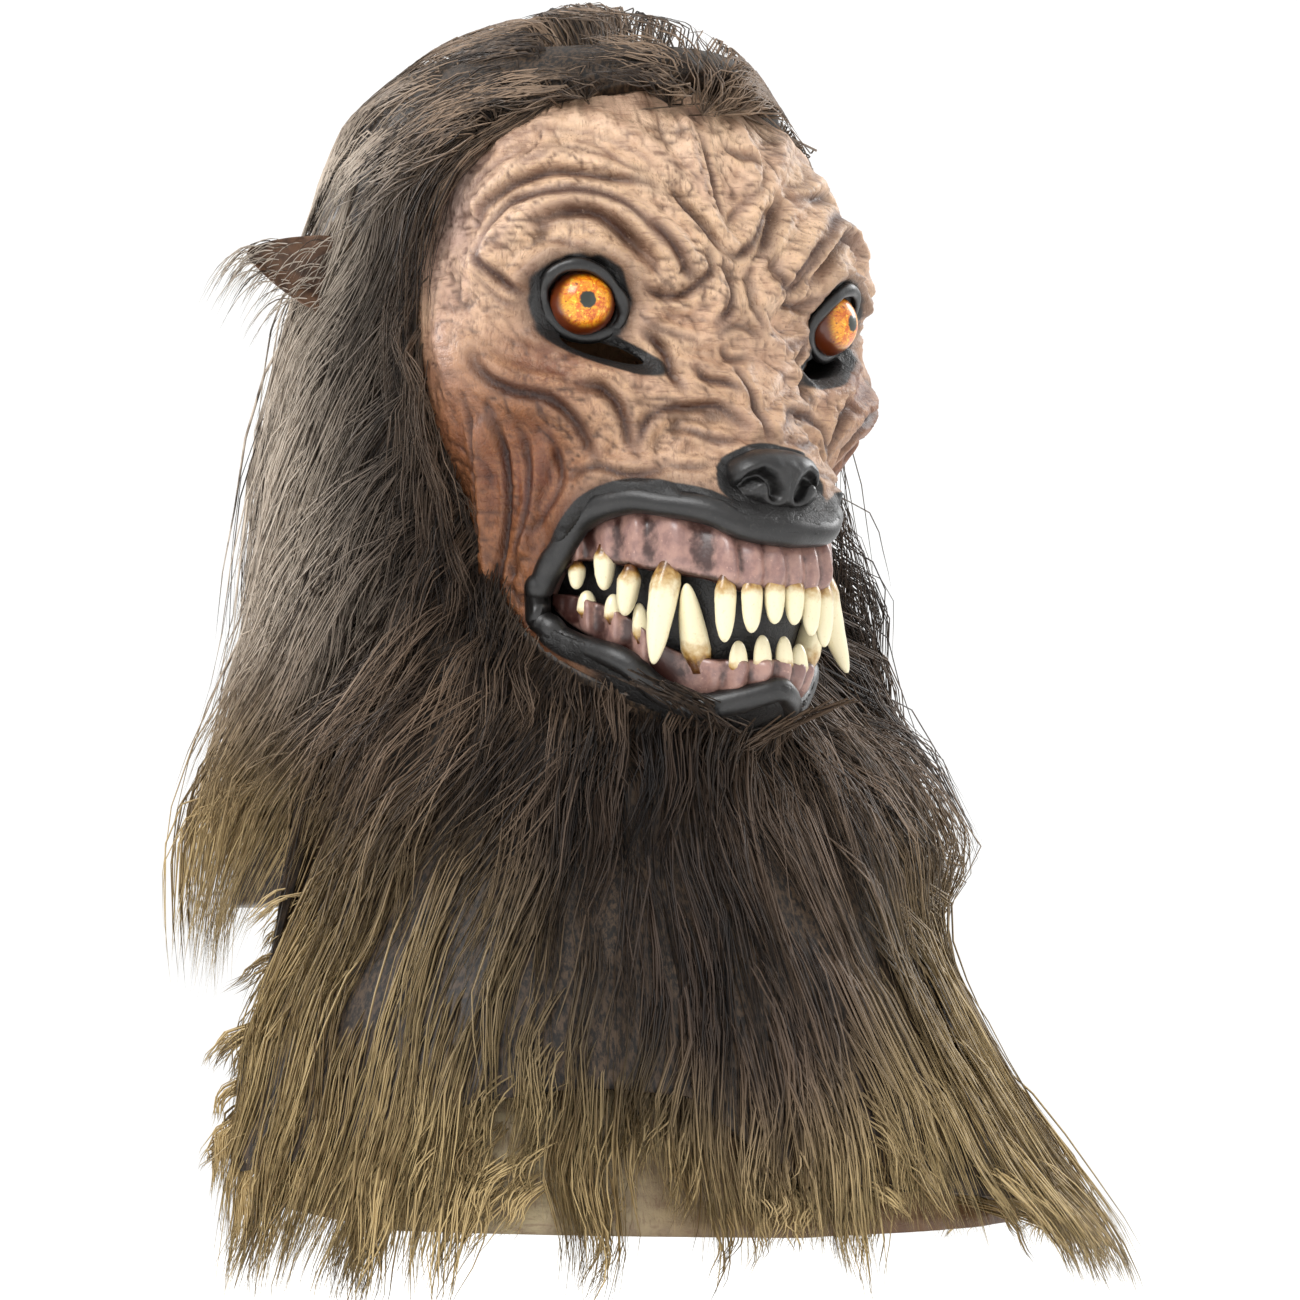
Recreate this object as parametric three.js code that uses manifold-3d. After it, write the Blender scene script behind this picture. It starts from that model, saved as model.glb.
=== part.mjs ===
// A snarling wolf-head costume mask: a hollow latex head, throat and bib cast in one piece,
// with glass-like eyes, latex ears, gums with separate teeth, and long fur on crown, mane and chest.
// Millimetres and degrees. +Z is up, the mask faces -Y, and the wearer's crown touches the origin.
// Azimuth 0 is the front, and it grows towards the wearer's left (+X).
import * as THREE from "three";
import { mergeVertices } from "three/addons/utils/BufferGeometryUtils.js";
import Module from "manifold-3d";

const wasm = await Module();
wasm.setup();

// Latex casting
const WALL = 3; // latex thickness
const FACE_DROP = 262; // crown to the underside of the chin
const BIB_DROP = 198; // chin to the front hem of the bib
const MUZZLE_REACH = 139; // neck axis to the front of the upper lip
const HALF_WIDTH = 90; // neck axis to the side of the skull
const BACK_REACH = 112; // neck axis to the back of the skull
const BIB_REACH = 165; // neck axis to the bib's side at its hem
const CROWN_CENTRE_DROP = 60; // the crown's wall faces away from this point on the axis
const FOLD_RELIEF = 9; // height of the brow, the tallest fold
const FOLD_WIDTH = 12; // half width of the cheekbone, the widest fold

// Mouth
const LIP_THICKNESS = 12; // diameter of the rolled lip
const LIP_SINK = 1.5; // from the muzzle's surface to the middle of the lip
const MOUTH_DEPTH = 18; // from the muzzle's surface to the floor of the mouth
const MOUTH_CORNER = 51; // azimuth of the mouth's corner
const GUM_THICKNESS = 12;
const GUM_ROUND = 4; // how far a gum's edges fall back
const GUM_BELOW_LIP = 3.5; // from the lip's edge to the gum's edge behind it, at the front
const GUM_CORNER_EASE = 7; // how much further it is at the mouth's corners
const TOOTH_ROOT = 4; // length of a tooth inside its gum

// Eyes and the slits that the wearer looks through
const EYE_RADIUS = 12.8;
const EYE_AZIMUTH = 37;
const EYE_DROP = 103; // crown to the eye's centre
const EYE_SINK = 8; // from the bare form's surface to the eyeball's centre
const EYE_BACK = 6; // the eyeball is cut flat this far behind its centre
const LID_HALF_WIDTH = 19; // eye's centre to the middle of the rolled lid
const LID_HALF_HEIGHT = 13.5;
const LID_TILT = 16; // degrees, falling towards the nose
const LID_THICKNESS = 7; // diameter of the rolled lid
const SOCKET_DEPTH = 5; // how far the eye's surroundings sink
const SOCKET_RADIUS = 22;
const SLIT_AZIMUTH = 32.5;
const SLIT_DROP = 121;
const SLIT_LENGTH = 34;
const SLIT_HEIGHT = 8;
const SLIT_TILT = 18; // degrees, falling towards the nose
const SLIT_CUT = 40; // depth of the cut, well through the wall

// Nose
const NOSE_DROP = 168;
const NOSE_HALF_WIDTH = 20;
const NOSE_HALF_HEIGHT = 13;
const NOSE_HALF_DEPTH = 16;
const NOSE_SINK = 5; // from the muzzle's surface to the middle of the nose
const NOSTRIL_OFFSET = 9;
const NOSTRIL_RADIUS = 4;

// Ears
const EAR_AZIMUTH = 113;
const EAR_DROP = 84;
const EAR_LENGTH = 47; // from the skull to the tip
const EAR_HALF_WIDTH = 18;
const EAR_THICKNESS = 14;
const EAR_RISE = 10; // height of the tip above the root
const EAR_WALL = 2.6;

// Fur
const FUR_REACH = 170; // neck axis to the mane's widest lock
const FUR_RISE = 27; // the crest's top above the latex crown
const LOCK_RELIEF = 3.5; // ridge to mean surface of a lock
const LOCK_TIP = 9; // how far a lock's tip hangs below the hem's mean line
const FUR_BACKING_GAP = 2.5; // fur backing to the casting's smooth form
const CREST_BOTTOM = 46; // crown to the lower edge of the crest
const CHEST_TOP = 252; // crown to the upper edge of the chest fur
const CHEST_SIDE = 92; // azimuth where the chest fur ends
const NAPE_HOLLOW = 0.6; // share of the fur's depth left free under the nape, where it hangs off the neck
const NAPE_TOP = 215; // crown to where that hollow begins
const NAPE_BOTTOM = 290; // crown to where it is whole

const CLEARANCE = 0.35; // between two pieces that meet

// Grid of the casting
const FACE_COLUMNS = 14; // on each side, from the midline to the edge of the face
const FACE_EDGE = 78; // azimuth
const REAR_COLUMNS = 4; // on each side, behind the face
const FACE_ROWS = 28;
const BIB_ROWS = 4;
const INNER_STEP = 2; // the cavity takes every second line of the outer grid

const rad = THREE.MathUtils.degToRad;
const { clamp, lerp, smoothstep } = THREE.MathUtils;

// Turns rows of numbers into records with the named columns.
function table(columns, rows) {
  const names = columns.split(" ");
  return rows.map((row) => Object.fromEntries(names.map((name, i) => [name, row[i]])));
}

// Sections of the bare head. level: share of FACE_DROP below the crown. front, snout and fang are
// shares of MUZZLE_REACH, cheek, jaw and side of HALF_WIDTH, nape and back of BACK_REACH.
const HEAD_SECTIONS = table("level front snout fang cheek jaw side nape back", [
  [0, 0, 0, 0, 0, 0, 0, 0, 0],
  [0.01, 0.23, 0.23, 0.23, 0.36, 0.38, 0.4, 0.4, 0.43],
  [0.028, 0.38, 0.38, 0.38, 0.57, 0.59, 0.62, 0.64, 0.7],
  [0.057, 0.49, 0.485, 0.475, 0.71, 0.73, 0.77, 0.78, 0.85],
  [0.105, 0.57, 0.565, 0.56, 0.84, 0.83, 0.87, 0.86, 0.93],
  [0.166, 0.625, 0.625, 0.635, 0.98, 0.97, 0.94, 0.9, 0.97],
  [0.233, 0.66, 0.665, 0.68, 1.07, 1.05, 0.98, 0.94, 1.0],
  [0.301, 0.69, 0.7, 0.725, 1.16, 1.11, 1.0, 0.95, 1.01],
  [0.355, 0.705, 0.705, 0.715, 1.2, 1.16, 1.01, 0.95, 1.01],
  [0.401, 0.72, 0.7, 0.69, 1.15, 1.17, 1.01, 0.94, 1.0],
  [0.455, 0.74, 0.705, 0.685, 1.12, 1.18, 1.0, 0.92, 0.98],
  [0.508, 0.78, 0.74, 0.72, 1.19, 1.17, 0.98, 0.89, 0.96],
  [0.562, 0.815, 0.775, 0.73, 1.12, 1.1, 0.96, 0.87, 0.93],
  [0.615, 0.865, 0.83, 0.76, 1.04, 1.01, 0.92, 0.84, 0.89],
  [0.668, 0.9, 0.87, 0.8, 1.0, 0.94, 0.89, 0.81, 0.86],
  [0.722, 0.95, 0.93, 0.845, 0.98, 0.88, 0.87, 0.79, 0.82],
  [0.791, 0.995, 0.965, 0.85, 0.96, 0.85, 0.84, 0.76, 0.79],
  [0.86, 0.975, 0.94, 0.82, 0.93, 0.82, 0.81, 0.74, 0.78],
  [0.916, 0.945, 0.905, 0.775, 0.89, 0.79, 0.79, 0.72, 0.76],
  [0.965, 0.915, 0.86, 0.71, 0.85, 0.77, 0.77, 0.71, 0.75],
  [1, 0.81, 0.755, 0.64, 0.82, 0.76, 0.76, 0.7, 0.75],
  [1.046, 0.63, 0.6, 0.57, 0.79, 0.76, 0.76, 0.7, 0.76],
]);

// Sections of the throat and bib. level: share of BIB_DROP below the chin. All radii are shares of BIB_REACH.
const BIB_SECTIONS = table("level front snout fang cheek jaw side nape back", [
  [0.14, 0.5, 0.49, 0.48, 0.455, 0.44, 0.45, 0.5, 0.54],
  [0.24, 0.53, 0.53, 0.53, 0.53, 0.54, 0.57, 0.58, 0.59],
  [0.36, 0.61, 0.62, 0.63, 0.65, 0.68, 0.7, 0.66, 0.65],
  [0.56, 0.72, 0.735, 0.76, 0.8, 0.84, 0.84, 0.74, 0.71],
  [0.8, 0.8, 0.82, 0.86, 0.92, 0.96, 0.96, 0.8, 0.76],
  [1.0, 0.84, 0.87, 0.91, 0.98, 1.03, 1.0, 0.83, 0.79],
  [1.17, 0.87, 0.9, 0.94, 1.01, 1.06, 1.03, 0.86, 0.81],
]);
const SECTION_AZIMUTHS = { front: 0, snout: 10, fang: 20, cheek: 40, jaw: 60, side: 90, nape: 135, back: 180 };

// The bib's hem. azimuth in degrees, drop: share of BIB_DROP below the chin.
const BIB_HEM = table("azimuth drop", [
  [0, 1.0], [60, 0.98], [84, 0.93], [97, 0.27], [115, 0.22], [180, 0.22],
]);

// The mouth's edges. azimuth in degrees, and the others are levels as shares of FACE_DROP.
const MOUTH = table("azimuth upper_lip upper_root lower_root lower_lip", [
  [0, 0.755, 0.812, 0.926, 0.945],
  [8, 0.747, 0.814, 0.928, 0.968],
  [13, 0.725, 0.797, 0.924, 0.97],
  [20, 0.71, 0.785, 0.9, 0.945],
  [27, 0.703, 0.772, 0.858, 0.905],
  [37, 0.726, 0.76, 0.83, 0.877],
  [44, 0.775, 0.775, 0.822, 0.86],
  [51, 0.83, 0.815, 0.825, 0.835],
]);

// Folds of the face, each a ridge along a bent line from a start, past a middle, to an end. azimuth in degrees,
// level: share of FACE_DROP. width and height are shares of FOLD_WIDTH and FOLD_RELIEF. Both sides carry them.
const FOLDS = table("name az0 level0 az1 level1 az2 level2 width height", [
  ["brow", 58, 0.33, 35, 0.245, 6, 0.38, 0.75, 1.0],
  ["brow_lobe", 4, 0.4, 11, 0.445, 22, 0.425, 0.5, 0.7],
  ["upper_lid", 50, 0.3, 34, 0.28, 14, 0.4, 0.42, 0.5],
  ["lid_bag", 46, 0.45, 30, 0.5, 12, 0.53, 0.5, 0.5],
  ["cheekbone", 74, 0.41, 52, 0.53, 28, 0.555, 1.0, 0.8],
  ["snarl_upper", 26, 0.54, 15, 0.48, 3, 0.525, 0.42, 0.5],
  ["snarl_middle", 25, 0.6, 14, 0.535, 3, 0.575, 0.42, 0.6],
  ["snarl_lower", 22, 0.65, 14, 0.59, 6, 0.62, 0.4, 0.5],
  ["cheek_fold_inner", 32, 0.56, 35, 0.635, 43, 0.71, 0.5, 0.6],
  ["cheek_fold_middle", 43, 0.57, 48, 0.65, 54, 0.745, 0.5, 0.6],
  ["cheek_fold_outer", 57, 0.56, 64, 0.65, 66, 0.78, 0.5, 0.6],
  ["lip_fold", 13, 0.65, 28, 0.635, 45, 0.7, 0.5, 0.5],
  ["forehead_low", 62, 0.24, 37, 0.175, 4, 0.335, 0.45, 0.55],
  ["forehead_high", 58, 0.15, 33, 0.115, 6, 0.245, 0.45, 0.5],
  ["frown", 1, 0.31, 8, 0.22, 9, 0.12, 0.45, 0.6],
]);

// Teeth of the wearer's left; the right side mirrors them. from and to are the azimuths of the root and the tip,
// root and tip are levels as shares of FACE_DROP, width and depth are millimetres across and through the tooth,
// lean is how far the tip stands out from the root's circle, blunt is high for a tooth that stays thick to its tip,
// and sides and rings set the solid's facets.
const TEETH = table("name jaw from to root tip width depth lean blunt sides rings", [
  ["upper_incisor_inner", "upper", 2.05, 2.05, 0.812, 0.87, 8.8, 7, 0, 3.5, 6, 3],
  ["upper_incisor_middle", "upper", 6.2, 6.3, 0.814, 0.884, 8.8, 7, 0, 3.5, 6, 3],
  ["upper_incisor_outer", "upper", 10.5, 10.8, 0.81, 0.898, 8.8, 7, 0, 3.5, 6, 3],
  ["upper_canine", "upper", 18.6, 23, 0.78, 0.93, 13, 12, 7, 1.8, 8, 5],
  ["upper_premolar", "upper", 26, 27.4, 0.795, 0.855, 9.5, 8, 1, 3, 6, 3],
  ["upper_molar", "upper", 31.6, 31.8, 0.762, 0.815, 9, 8, 1, 3, 6, 3],
  ["upper_back_molar", "upper", 38.8, 39.2, 0.784, 0.81, 7, 6, 0, 3, 6, 3],
  ["lower_incisor_inner", "lower", 2.4, 2.4, 0.926, 0.884, 8, 6, 0, 3, 6, 3],
  ["lower_incisor_outer", "lower", 6.9, 6.8, 0.928, 0.893, 8, 6, 0, 3, 6, 3],
  ["lower_canine", "lower", 12.5, 16.2, 0.926, 0.81, 12.5, 11.5, 4, 1.8, 8, 5],
  ["lower_premolar", "lower", 23.5, 24, 0.88, 0.835, 7, 6, -1, 3, 6, 3],
  ["lower_molar", "lower", 29.4, 29.6, 0.85, 0.82, 8, 7, 0, 3, 6, 3],
  ["lower_back_molar", "lower", 36.2, 36.2, 0.838, 0.812, 8, 6.5, 0, 3, 6, 3],
]);

// The fur's outer form. level: share of FACE_DROP below the crown, negative above it. The rest are radii at
// each azimuth, as shares of FUR_REACH; right and left are the wearer's.
const FUR_SECTIONS = table("level back rear_right side_right front_right front front_left side_left rear_left", [
  [-0.09, 0.1, 0.1, 0.1, 0.1, 0.1, 0.1, 0.1, 0.1],
  [-0.082, 0.2, 0.19, 0.15, 0.14, 0.15, 0.14, 0.15, 0.19],
  [-0.055, 0.39, 0.35, 0.27, 0.26, 0.3, 0.26, 0.27, 0.35],
  [-0.005, 0.52, 0.48, 0.4, 0.38, 0.44, 0.37, 0.38, 0.48],
  [0.059, 0.61, 0.59, 0.51, 0.47, 0.52, 0.44, 0.47, 0.59],
  [0.122, 0.68, 0.64, 0.56, 0.54, 0.54, 0.51, 0.54, 0.64],
  [0.195, 0.73, 0.68, 0.6, 0.6, 0.57, 0.6, 0.6, 0.68],
  [0.313, 0.77, 0.74, 0.64, 0.62, 0.6, 0.62, 0.64, 0.73],
  [0.43, 0.8, 0.78, 0.66, 0.62, 0.62, 0.62, 0.66, 0.77],
  [0.586, 0.82, 0.83, 0.67, 0.6, 0.7, 0.6, 0.67, 0.8],
  [0.733, 0.84, 0.86, 0.69, 0.56, 0.76, 0.56, 0.7, 0.82],
  [0.889, 0.86, 0.89, 0.72, 0.55, 0.73, 0.55, 0.74, 0.84],
  [0.967, 0.87, 0.92, 0.76, 0.58, 0.68, 0.59, 0.78, 0.86],
  [1.036, 0.88, 0.96, 0.81, 0.66, 0.62, 0.7, 0.88, 0.88],
  [1.114, 0.89, 1.0, 0.82, 0.68, 0.61, 0.76, 0.98, 0.91],
  [1.192, 0.89, 1.02, 0.8, 0.71, 0.65, 0.8, 1.05, 0.92],
  [1.309, 0.89, 1.01, 0.84, 0.79, 0.72, 0.8, 0.87, 0.89],
  [1.427, 0.88, 0.97, 0.93, 0.87, 0.8, 0.88, 0.92, 0.88],
  [1.622, 0.88, 0.88, 1.01, 0.96, 0.88, 1.05, 1.11, 0.89],
  [1.778, 0.88, 0.88, 1.02, 1.0, 0.93, 1.21, 1.25, 0.91],
  [1.905, 0.88, 0.88, 1.03, 1.02, 0.96, 1.31, 1.33, 0.93],
]);
const FUR_AZIMUTHS = {
  back: -180, rear_right: -135, side_right: -90, front_right: -45, front: 0, front_left: 45, side_left: 90, rear_left: 135,
};

// The fur's hem. azimuth in degrees, level: share of FACE_DROP below the crown.
const FUR_HEM = table("azimuth level", [
  [-180, 1.12], [-150, 1.11], [-141, 1.22], [-130, 1.41], [-114, 1.4], [-107, 1.13], [-97, 1.13], [-90, 1.82], [-70, 1.84],
  [-45, 1.82], [-20, 1.76], [0, 1.84], [20, 1.83], [45, 1.85], [62, 1.86], [80, 1.72], [94, 1.25], [120, 1.17], [150, 1.12],
  [180, 1.12],
]);
const FUR_SPLIT_LEVEL = 0.98; // above this share of FACE_DROP the hem doesn't bend the rows
const FUR_COLUMNS = 33;
const FUR_SKIRT_ROWS = 7;

// The hairline, where skin shows inside and fur begins. azimuth in degrees, level: share of FACE_DROP.
const HAIRLINE = table("azimuth level", [
  [0, 0.115], [9, 0.082], [22, 0.07], [40, 0.07], [56, 0.09], [70, 0.14], [79, 0.21], [82, 0.3], [81, 0.42], [77, 0.55],
  [72, 0.68], [66, 0.78], [57, 0.86], [42, 0.92], [27, 0.965], [12, 1.0], [0, 1.015],
]);
const WINDOW_EYE_LEVEL = 0.5; // the window's rays leave the axis here
const WINDOW_REACH = 3; // how far the window's rays run, in radii

// Cubic curve through knots, with slopes from the neighbouring knots, and flat beyond both ends.
function through(knots, values, x) {
  const last = knots.length - 1;
  if (x <= knots[0]) return values[0];
  if (x >= knots[last]) return values[last];
  const i = knots.findIndex((k) => k > x) - 1;
  const slope = (k) => {
    const a = Math.max(k - 1, 0);
    const b = Math.min(k + 1, last);
    return (values[b] - values[a]) / (knots[b] - knots[a]);
  };
  const h = knots[i + 1] - knots[i];
  const t = (x - knots[i]) / h;
  const t2 = t * t;
  const t3 = t2 * t;
  return (
    (2 * t3 - 3 * t2 + 1) * values[i] +
    (t3 - 2 * t2 + t) * h * slope(i) +
    (3 * t2 - 2 * t3) * values[i + 1] +
    (t3 - t2) * h * slope(i + 1)
  );
}

function straight(knots, values, x) {
  const last = knots.length - 1;
  if (x <= knots[0]) return values[0];
  if (x >= knots[last]) return values[last];
  const i = knots.findIndex((k) => k > x) - 1;
  return lerp(values[i], values[i + 1], (x - knots[i]) / (knots[i + 1] - knots[i]));
}

const pick = (rows, name) => rows.map((row) => row[name]);
const levelZ = (level) => WALL - level * FACE_DROP;
const zLevel = (z) => (WALL - z) / FACE_DROP;
const CHIN_Z = levelZ(1);

// Rings of the bare form, each {z, radii} with radii in millimetres at the section azimuths.
const sectionNames = Object.keys(SECTION_AZIMUTHS);
const sectionAzimuths = Object.values(SECTION_AZIMUTHS);
const COLUMN_SIZE = {
  front: MUZZLE_REACH, snout: MUZZLE_REACH, fang: MUZZLE_REACH,
  cheek: HALF_WIDTH, jaw: HALF_WIDTH, side: HALF_WIDTH, nape: BACK_REACH, back: BACK_REACH,
};
const rings = [
  ...HEAD_SECTIONS.map((s) => ({ z: levelZ(s.level), radii: sectionNames.map((n) => s[n] * COLUMN_SIZE[n]) })),
  ...BIB_SECTIONS.map((s) => ({ z: CHIN_Z - s.level * BIB_DROP, radii: sectionNames.map((n) => s[n] * BIB_REACH) })),
];
const ringDepths = rings.map((ring) => -ring.z);

function formRadius(azimuth, z) {
  const a = Math.abs(azimuth);
  const radii = rings.map((ring) => through(sectionAzimuths, ring.radii, a));
  return through(ringDepths, radii, -z);
}

function polar(radius, azimuth, z) {
  return new THREE.Vector3(radius * Math.sin(rad(azimuth)), -radius * Math.cos(rad(azimuth)), z);
}

// The way out of the casting: away from a point on the axis over the crown, and level below it.
function outward(radius, azimuth, z) {
  const centre = Math.min(z, WALL - CROWN_CENTRE_DROP);
  return polar(radius, azimuth, z - centre).normalize();
}

const mouthAzimuths = pick(MOUTH, "azimuth");
const mouthZ = (edge, azimuth) => levelZ(through(mouthAzimuths, pick(MOUTH, edge), Math.abs(azimuth)));

const bump = (distance, halfWidth) => Math.exp(-((distance / halfWidth) ** 2));

// The face unrolled to millimetres: across from the midline, and down as z.
const MEAN_RADIUS = 0.8 * MUZZLE_REACH;
const across = (azimuth) => MEAN_RADIUS * rad(azimuth);
const facePoint = (azimuth, level) => new THREE.Vector2(across(azimuth), levelZ(level));

const foldLines = FOLDS.map((fold) => ({
  points: new THREE.QuadraticBezierCurve(
    facePoint(fold.az0, fold.level0),
    facePoint(2 * fold.az1 - (fold.az0 + fold.az2) / 2, 2 * fold.level1 - (fold.level0 + fold.level2) / 2),
    facePoint(fold.az2, fold.level2),
  ).getPoints(8),
  width: fold.width * FOLD_WIDTH,
  height: fold.height * FOLD_RELIEF,
}));

function distanceToLine(point, points) {
  const nearest = new THREE.Vector2();
  let best = Infinity;
  for (let i = 0; i + 1 < points.length; i++) {
    const along = points[i + 1].clone().sub(points[i]);
    const t = clamp(point.clone().sub(points[i]).dot(along) / along.lengthSq(), 0, 1);
    best = Math.min(best, nearest.copy(points[i]).addScaledVector(along, t).distanceTo(point));
  }
  return best;
}

// Height of the face's relief over the bare form: folds and eye sockets.
function relief(azimuth, z) {
  const a = Math.abs(azimuth);
  const face = 1 - smoothstep(a, FACE_EDGE - 12, FACE_EDGE);
  if (face === 0 || z < CHIN_Z) return 0;
  const point = new THREE.Vector2(across(a), z);
  const fold = Math.max(...foldLines.map((f) => f.height * bump(distanceToLine(point, f.points), f.width)));
  const eyeDistance = point.distanceTo(facePoint(EYE_AZIMUTH, EYE_DROP / FACE_DROP));
  return face * (fold - SOCKET_DEPTH * bump(eyeDistance, SOCKET_RADIUS));
}

// How far the mouth's floor lies below the bare form, blended to nothing at the lips.
function hollow(azimuth, z) {
  const a = Math.abs(azimuth);
  const open = Math.min(mouthZ("upper_lip", a) - z, z - mouthZ("lower_lip", a));
  return MOUTH_DEPTH * smoothstep(open, -4, 4) * (1 - smoothstep(a, MOUTH_CORNER - 4, MOUTH_CORNER + 4));
}

const toRow = (names, row, sizes) => names.map((name) => row[name] * sizes);

// A closed solid from a grid of points: rows run from the top to the bottom, columns all the way round.
function gridSolid(rows, top, bottom) {
  const columns = rows[0].length;
  const points = [...rows.flat(), top, bottom];
  const topIndex = points.length - 2;
  const bottomIndex = points.length - 1;
  const faces = [];
  const at = (i, j) => i * columns + (j % columns);
  for (let j = 0; j < columns; j++) {
    faces.push(topIndex, at(0, j), at(0, j + 1));
    faces.push(bottomIndex, at(rows.length - 1, j + 1), at(rows.length - 1, j));
    for (let i = 0; i + 1 < rows.length; i++) {
      faces.push(at(i, j), at(i + 1, j), at(i + 1, j + 1));
      faces.push(at(i, j), at(i + 1, j + 1), at(i, j + 1));
    }
  }
  const made = new wasm.Manifold(
    new wasm.Mesh({
      numProp: 3,
      vertProperties: new Float32Array(points.flatMap((p) => [p.x, p.y, p.z])),
      triVerts: new Uint32Array(faces),
    }),
  );
  if (made.volume() < 0) throw new Error("a grid solid is inside out");
  return made;
}

// A closed ring of a solid from sections that follow one another round a loop.
function ringSolid(sections) {
  const sides = sections[0].length;
  const points = sections.flat();
  const faces = [];
  const at = (i, j) => (i % sections.length) * sides + (j % sides);
  for (let i = 0; i < sections.length; i++)
    for (let j = 0; j < sides; j++) {
      faces.push(at(i, j), at(i + 1, j), at(i + 1, j + 1));
      faces.push(at(i, j), at(i + 1, j + 1), at(i, j + 1));
    }
  const made = new wasm.Manifold(
    new wasm.Mesh({
      numProp: 3,
      vertProperties: new Float32Array(points.flatMap((p) => [p.x, p.y, p.z])),
      triVerts: new Uint32Array(faces),
    }),
  );
  if (made.volume() < 0) throw new Error("a ring is inside out");
  return made;
}

// A three.js geometry as a solid.
function solidOf(geometry) {
  const bare = geometry.clone();
  bare.deleteAttribute("normal");
  bare.deleteAttribute("uv");
  const merged = mergeVertices(bare, 1e-4);
  return new wasm.Manifold(
    new wasm.Mesh({
      numProp: 3,
      vertProperties: new Float32Array(merged.attributes.position.array),
      triVerts: new Uint32Array(merged.index.array),
    }),
  );
}

function geometryOf(solid) {
  const mesh = solid.getMesh();
  const geometry = new THREE.BufferGeometry();
  geometry.setAttribute("position", new THREE.BufferAttribute(Float32Array.from(mesh.vertProperties), 3));
  geometry.setIndex(new THREE.BufferAttribute(Uint32Array.from(mesh.triVerts), 1));
  geometry.computeVertexNormals();
  return geometry;
}

// The largest of the loose bodies that a cut leaves.
function mainBody(solid) {
  return solid.decompose().reduce((a, b) => (a.volume() > b.volume() ? a : b));
}

// Azimuths of the casting's columns, dense over the face, once round.
const sideAzimuths = [
  ...Array.from({ length: FACE_COLUMNS }, (_, i) => FACE_EDGE * ((i + 0.5) / FACE_COLUMNS) ** 1.15),
  ...Array.from({ length: REAR_COLUMNS }, (_, i) => lerp(FACE_EDGE, 180, (i + 0.5) / REAR_COLUMNS)),
];
const castingAzimuths = [...sideAzimuths.map((a) => -a).reverse(), ...sideAzimuths];

const hemAzimuths = pick(BIB_HEM, "azimuth");
const bibHemZ = (azimuth) => CHIN_Z - BIB_DROP * straight(hemAzimuths, pick(BIB_HEM, "drop"), Math.abs(azimuth));

// Heights of the casting's rows at an azimuth: the crown's sections, even rows over the face, then the bib.
const CROWN_ROWS = 5;
function castingHeights(azimuth) {
  const crown = rings.slice(1, CROWN_ROWS).map((ring) => ring.z);
  const faceTop = rings[CROWN_ROWS].z;
  const throat = rings[HEAD_SECTIONS.length - 1].z;
  const hem = bibHemZ(azimuth);
  return [
    ...crown,
    ...Array.from({ length: FACE_ROWS }, (_, i) => lerp(faceTop, throat, i / (FACE_ROWS - 1))),
    ...Array.from({ length: BIB_ROWS }, (_, i) => lerp(throat, hem, (i + 1) / BIB_ROWS)),
  ];
}

const castingGrid = castingAzimuths.map((azimuth) =>
  castingHeights(azimuth).map((z) => {
    const radius = formRadius(azimuth, z);
    const height = relief(azimuth, z);
    const way = outward(radius, azimuth, z);
    return { way, base: polar(radius, azimuth, z), height, floor: Math.min(height, 0) - hollow(azimuth, z) };
  }),
);
const castingRows = castingGrid[0].map((_, i) => castingGrid.map((column) => column[i]));

// A point over the bare form, by azimuth and height.
function overForm(azimuth, z, rise) {
  const radius = formRadius(azimuth, z);
  return polar(radius, azimuth, z).addScaledVector(outward(radius, azimuth, z), rise);
}

// A rolled edge along a loop on the face, whose points are {azimuth, z}, clockwise for one who looks at the mask.
function roll(loop, thickness, rise, sides) {
  return ringSolid(
    loop.map((p, i) => {
      const centre = overForm(p.azimuth, p.z, rise);
      const before = loop[(i + loop.length - 1) % loop.length];
      const after = loop[(i + 1) % loop.length];
      const along = overForm(after.azimuth, after.z, rise).sub(overForm(before.azimuth, before.z, rise)).normalize();
      const out = polar(1, p.azimuth, 0);
      const aside = along.clone().cross(out).normalize();
      const normal = aside.clone().cross(along);
      return Array.from({ length: sides }, (_, k) => {
        const angle = (2 * Math.PI * k) / sides;
        return centre
          .clone()
          .addScaledVector(aside, (thickness / 2) * Math.cos(angle))
          .addScaledVector(normal, (thickness / 2) * Math.sin(angle));
      });
    }),
  );
}

// Azimuths across the mouth, closer together at its corners.
const MOUTH_STATIONS = 17;
const mouthStations = Array.from({ length: MOUTH_STATIONS }, (_, i) =>
  MOUTH_CORNER * Math.sin(rad(lerp(-88, 88, i / (MOUTH_STATIONS - 1)))));

// The mouth's outline: along the upper lip from the wearer's right corner to the left one, and back below.
function mouthLoop(edge) {
  const upper = mouthStations.slice(0, -1).map((azimuth) => ({ azimuth, z: mouthZ("upper_lip", azimuth) + edge }));
  const lower = mouthStations.slice(0, -1).map((azimuth) => ({ azimuth: -azimuth, z: mouthZ("lower_lip", azimuth) - edge }));
  return [...upper, ...lower];
}

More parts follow.
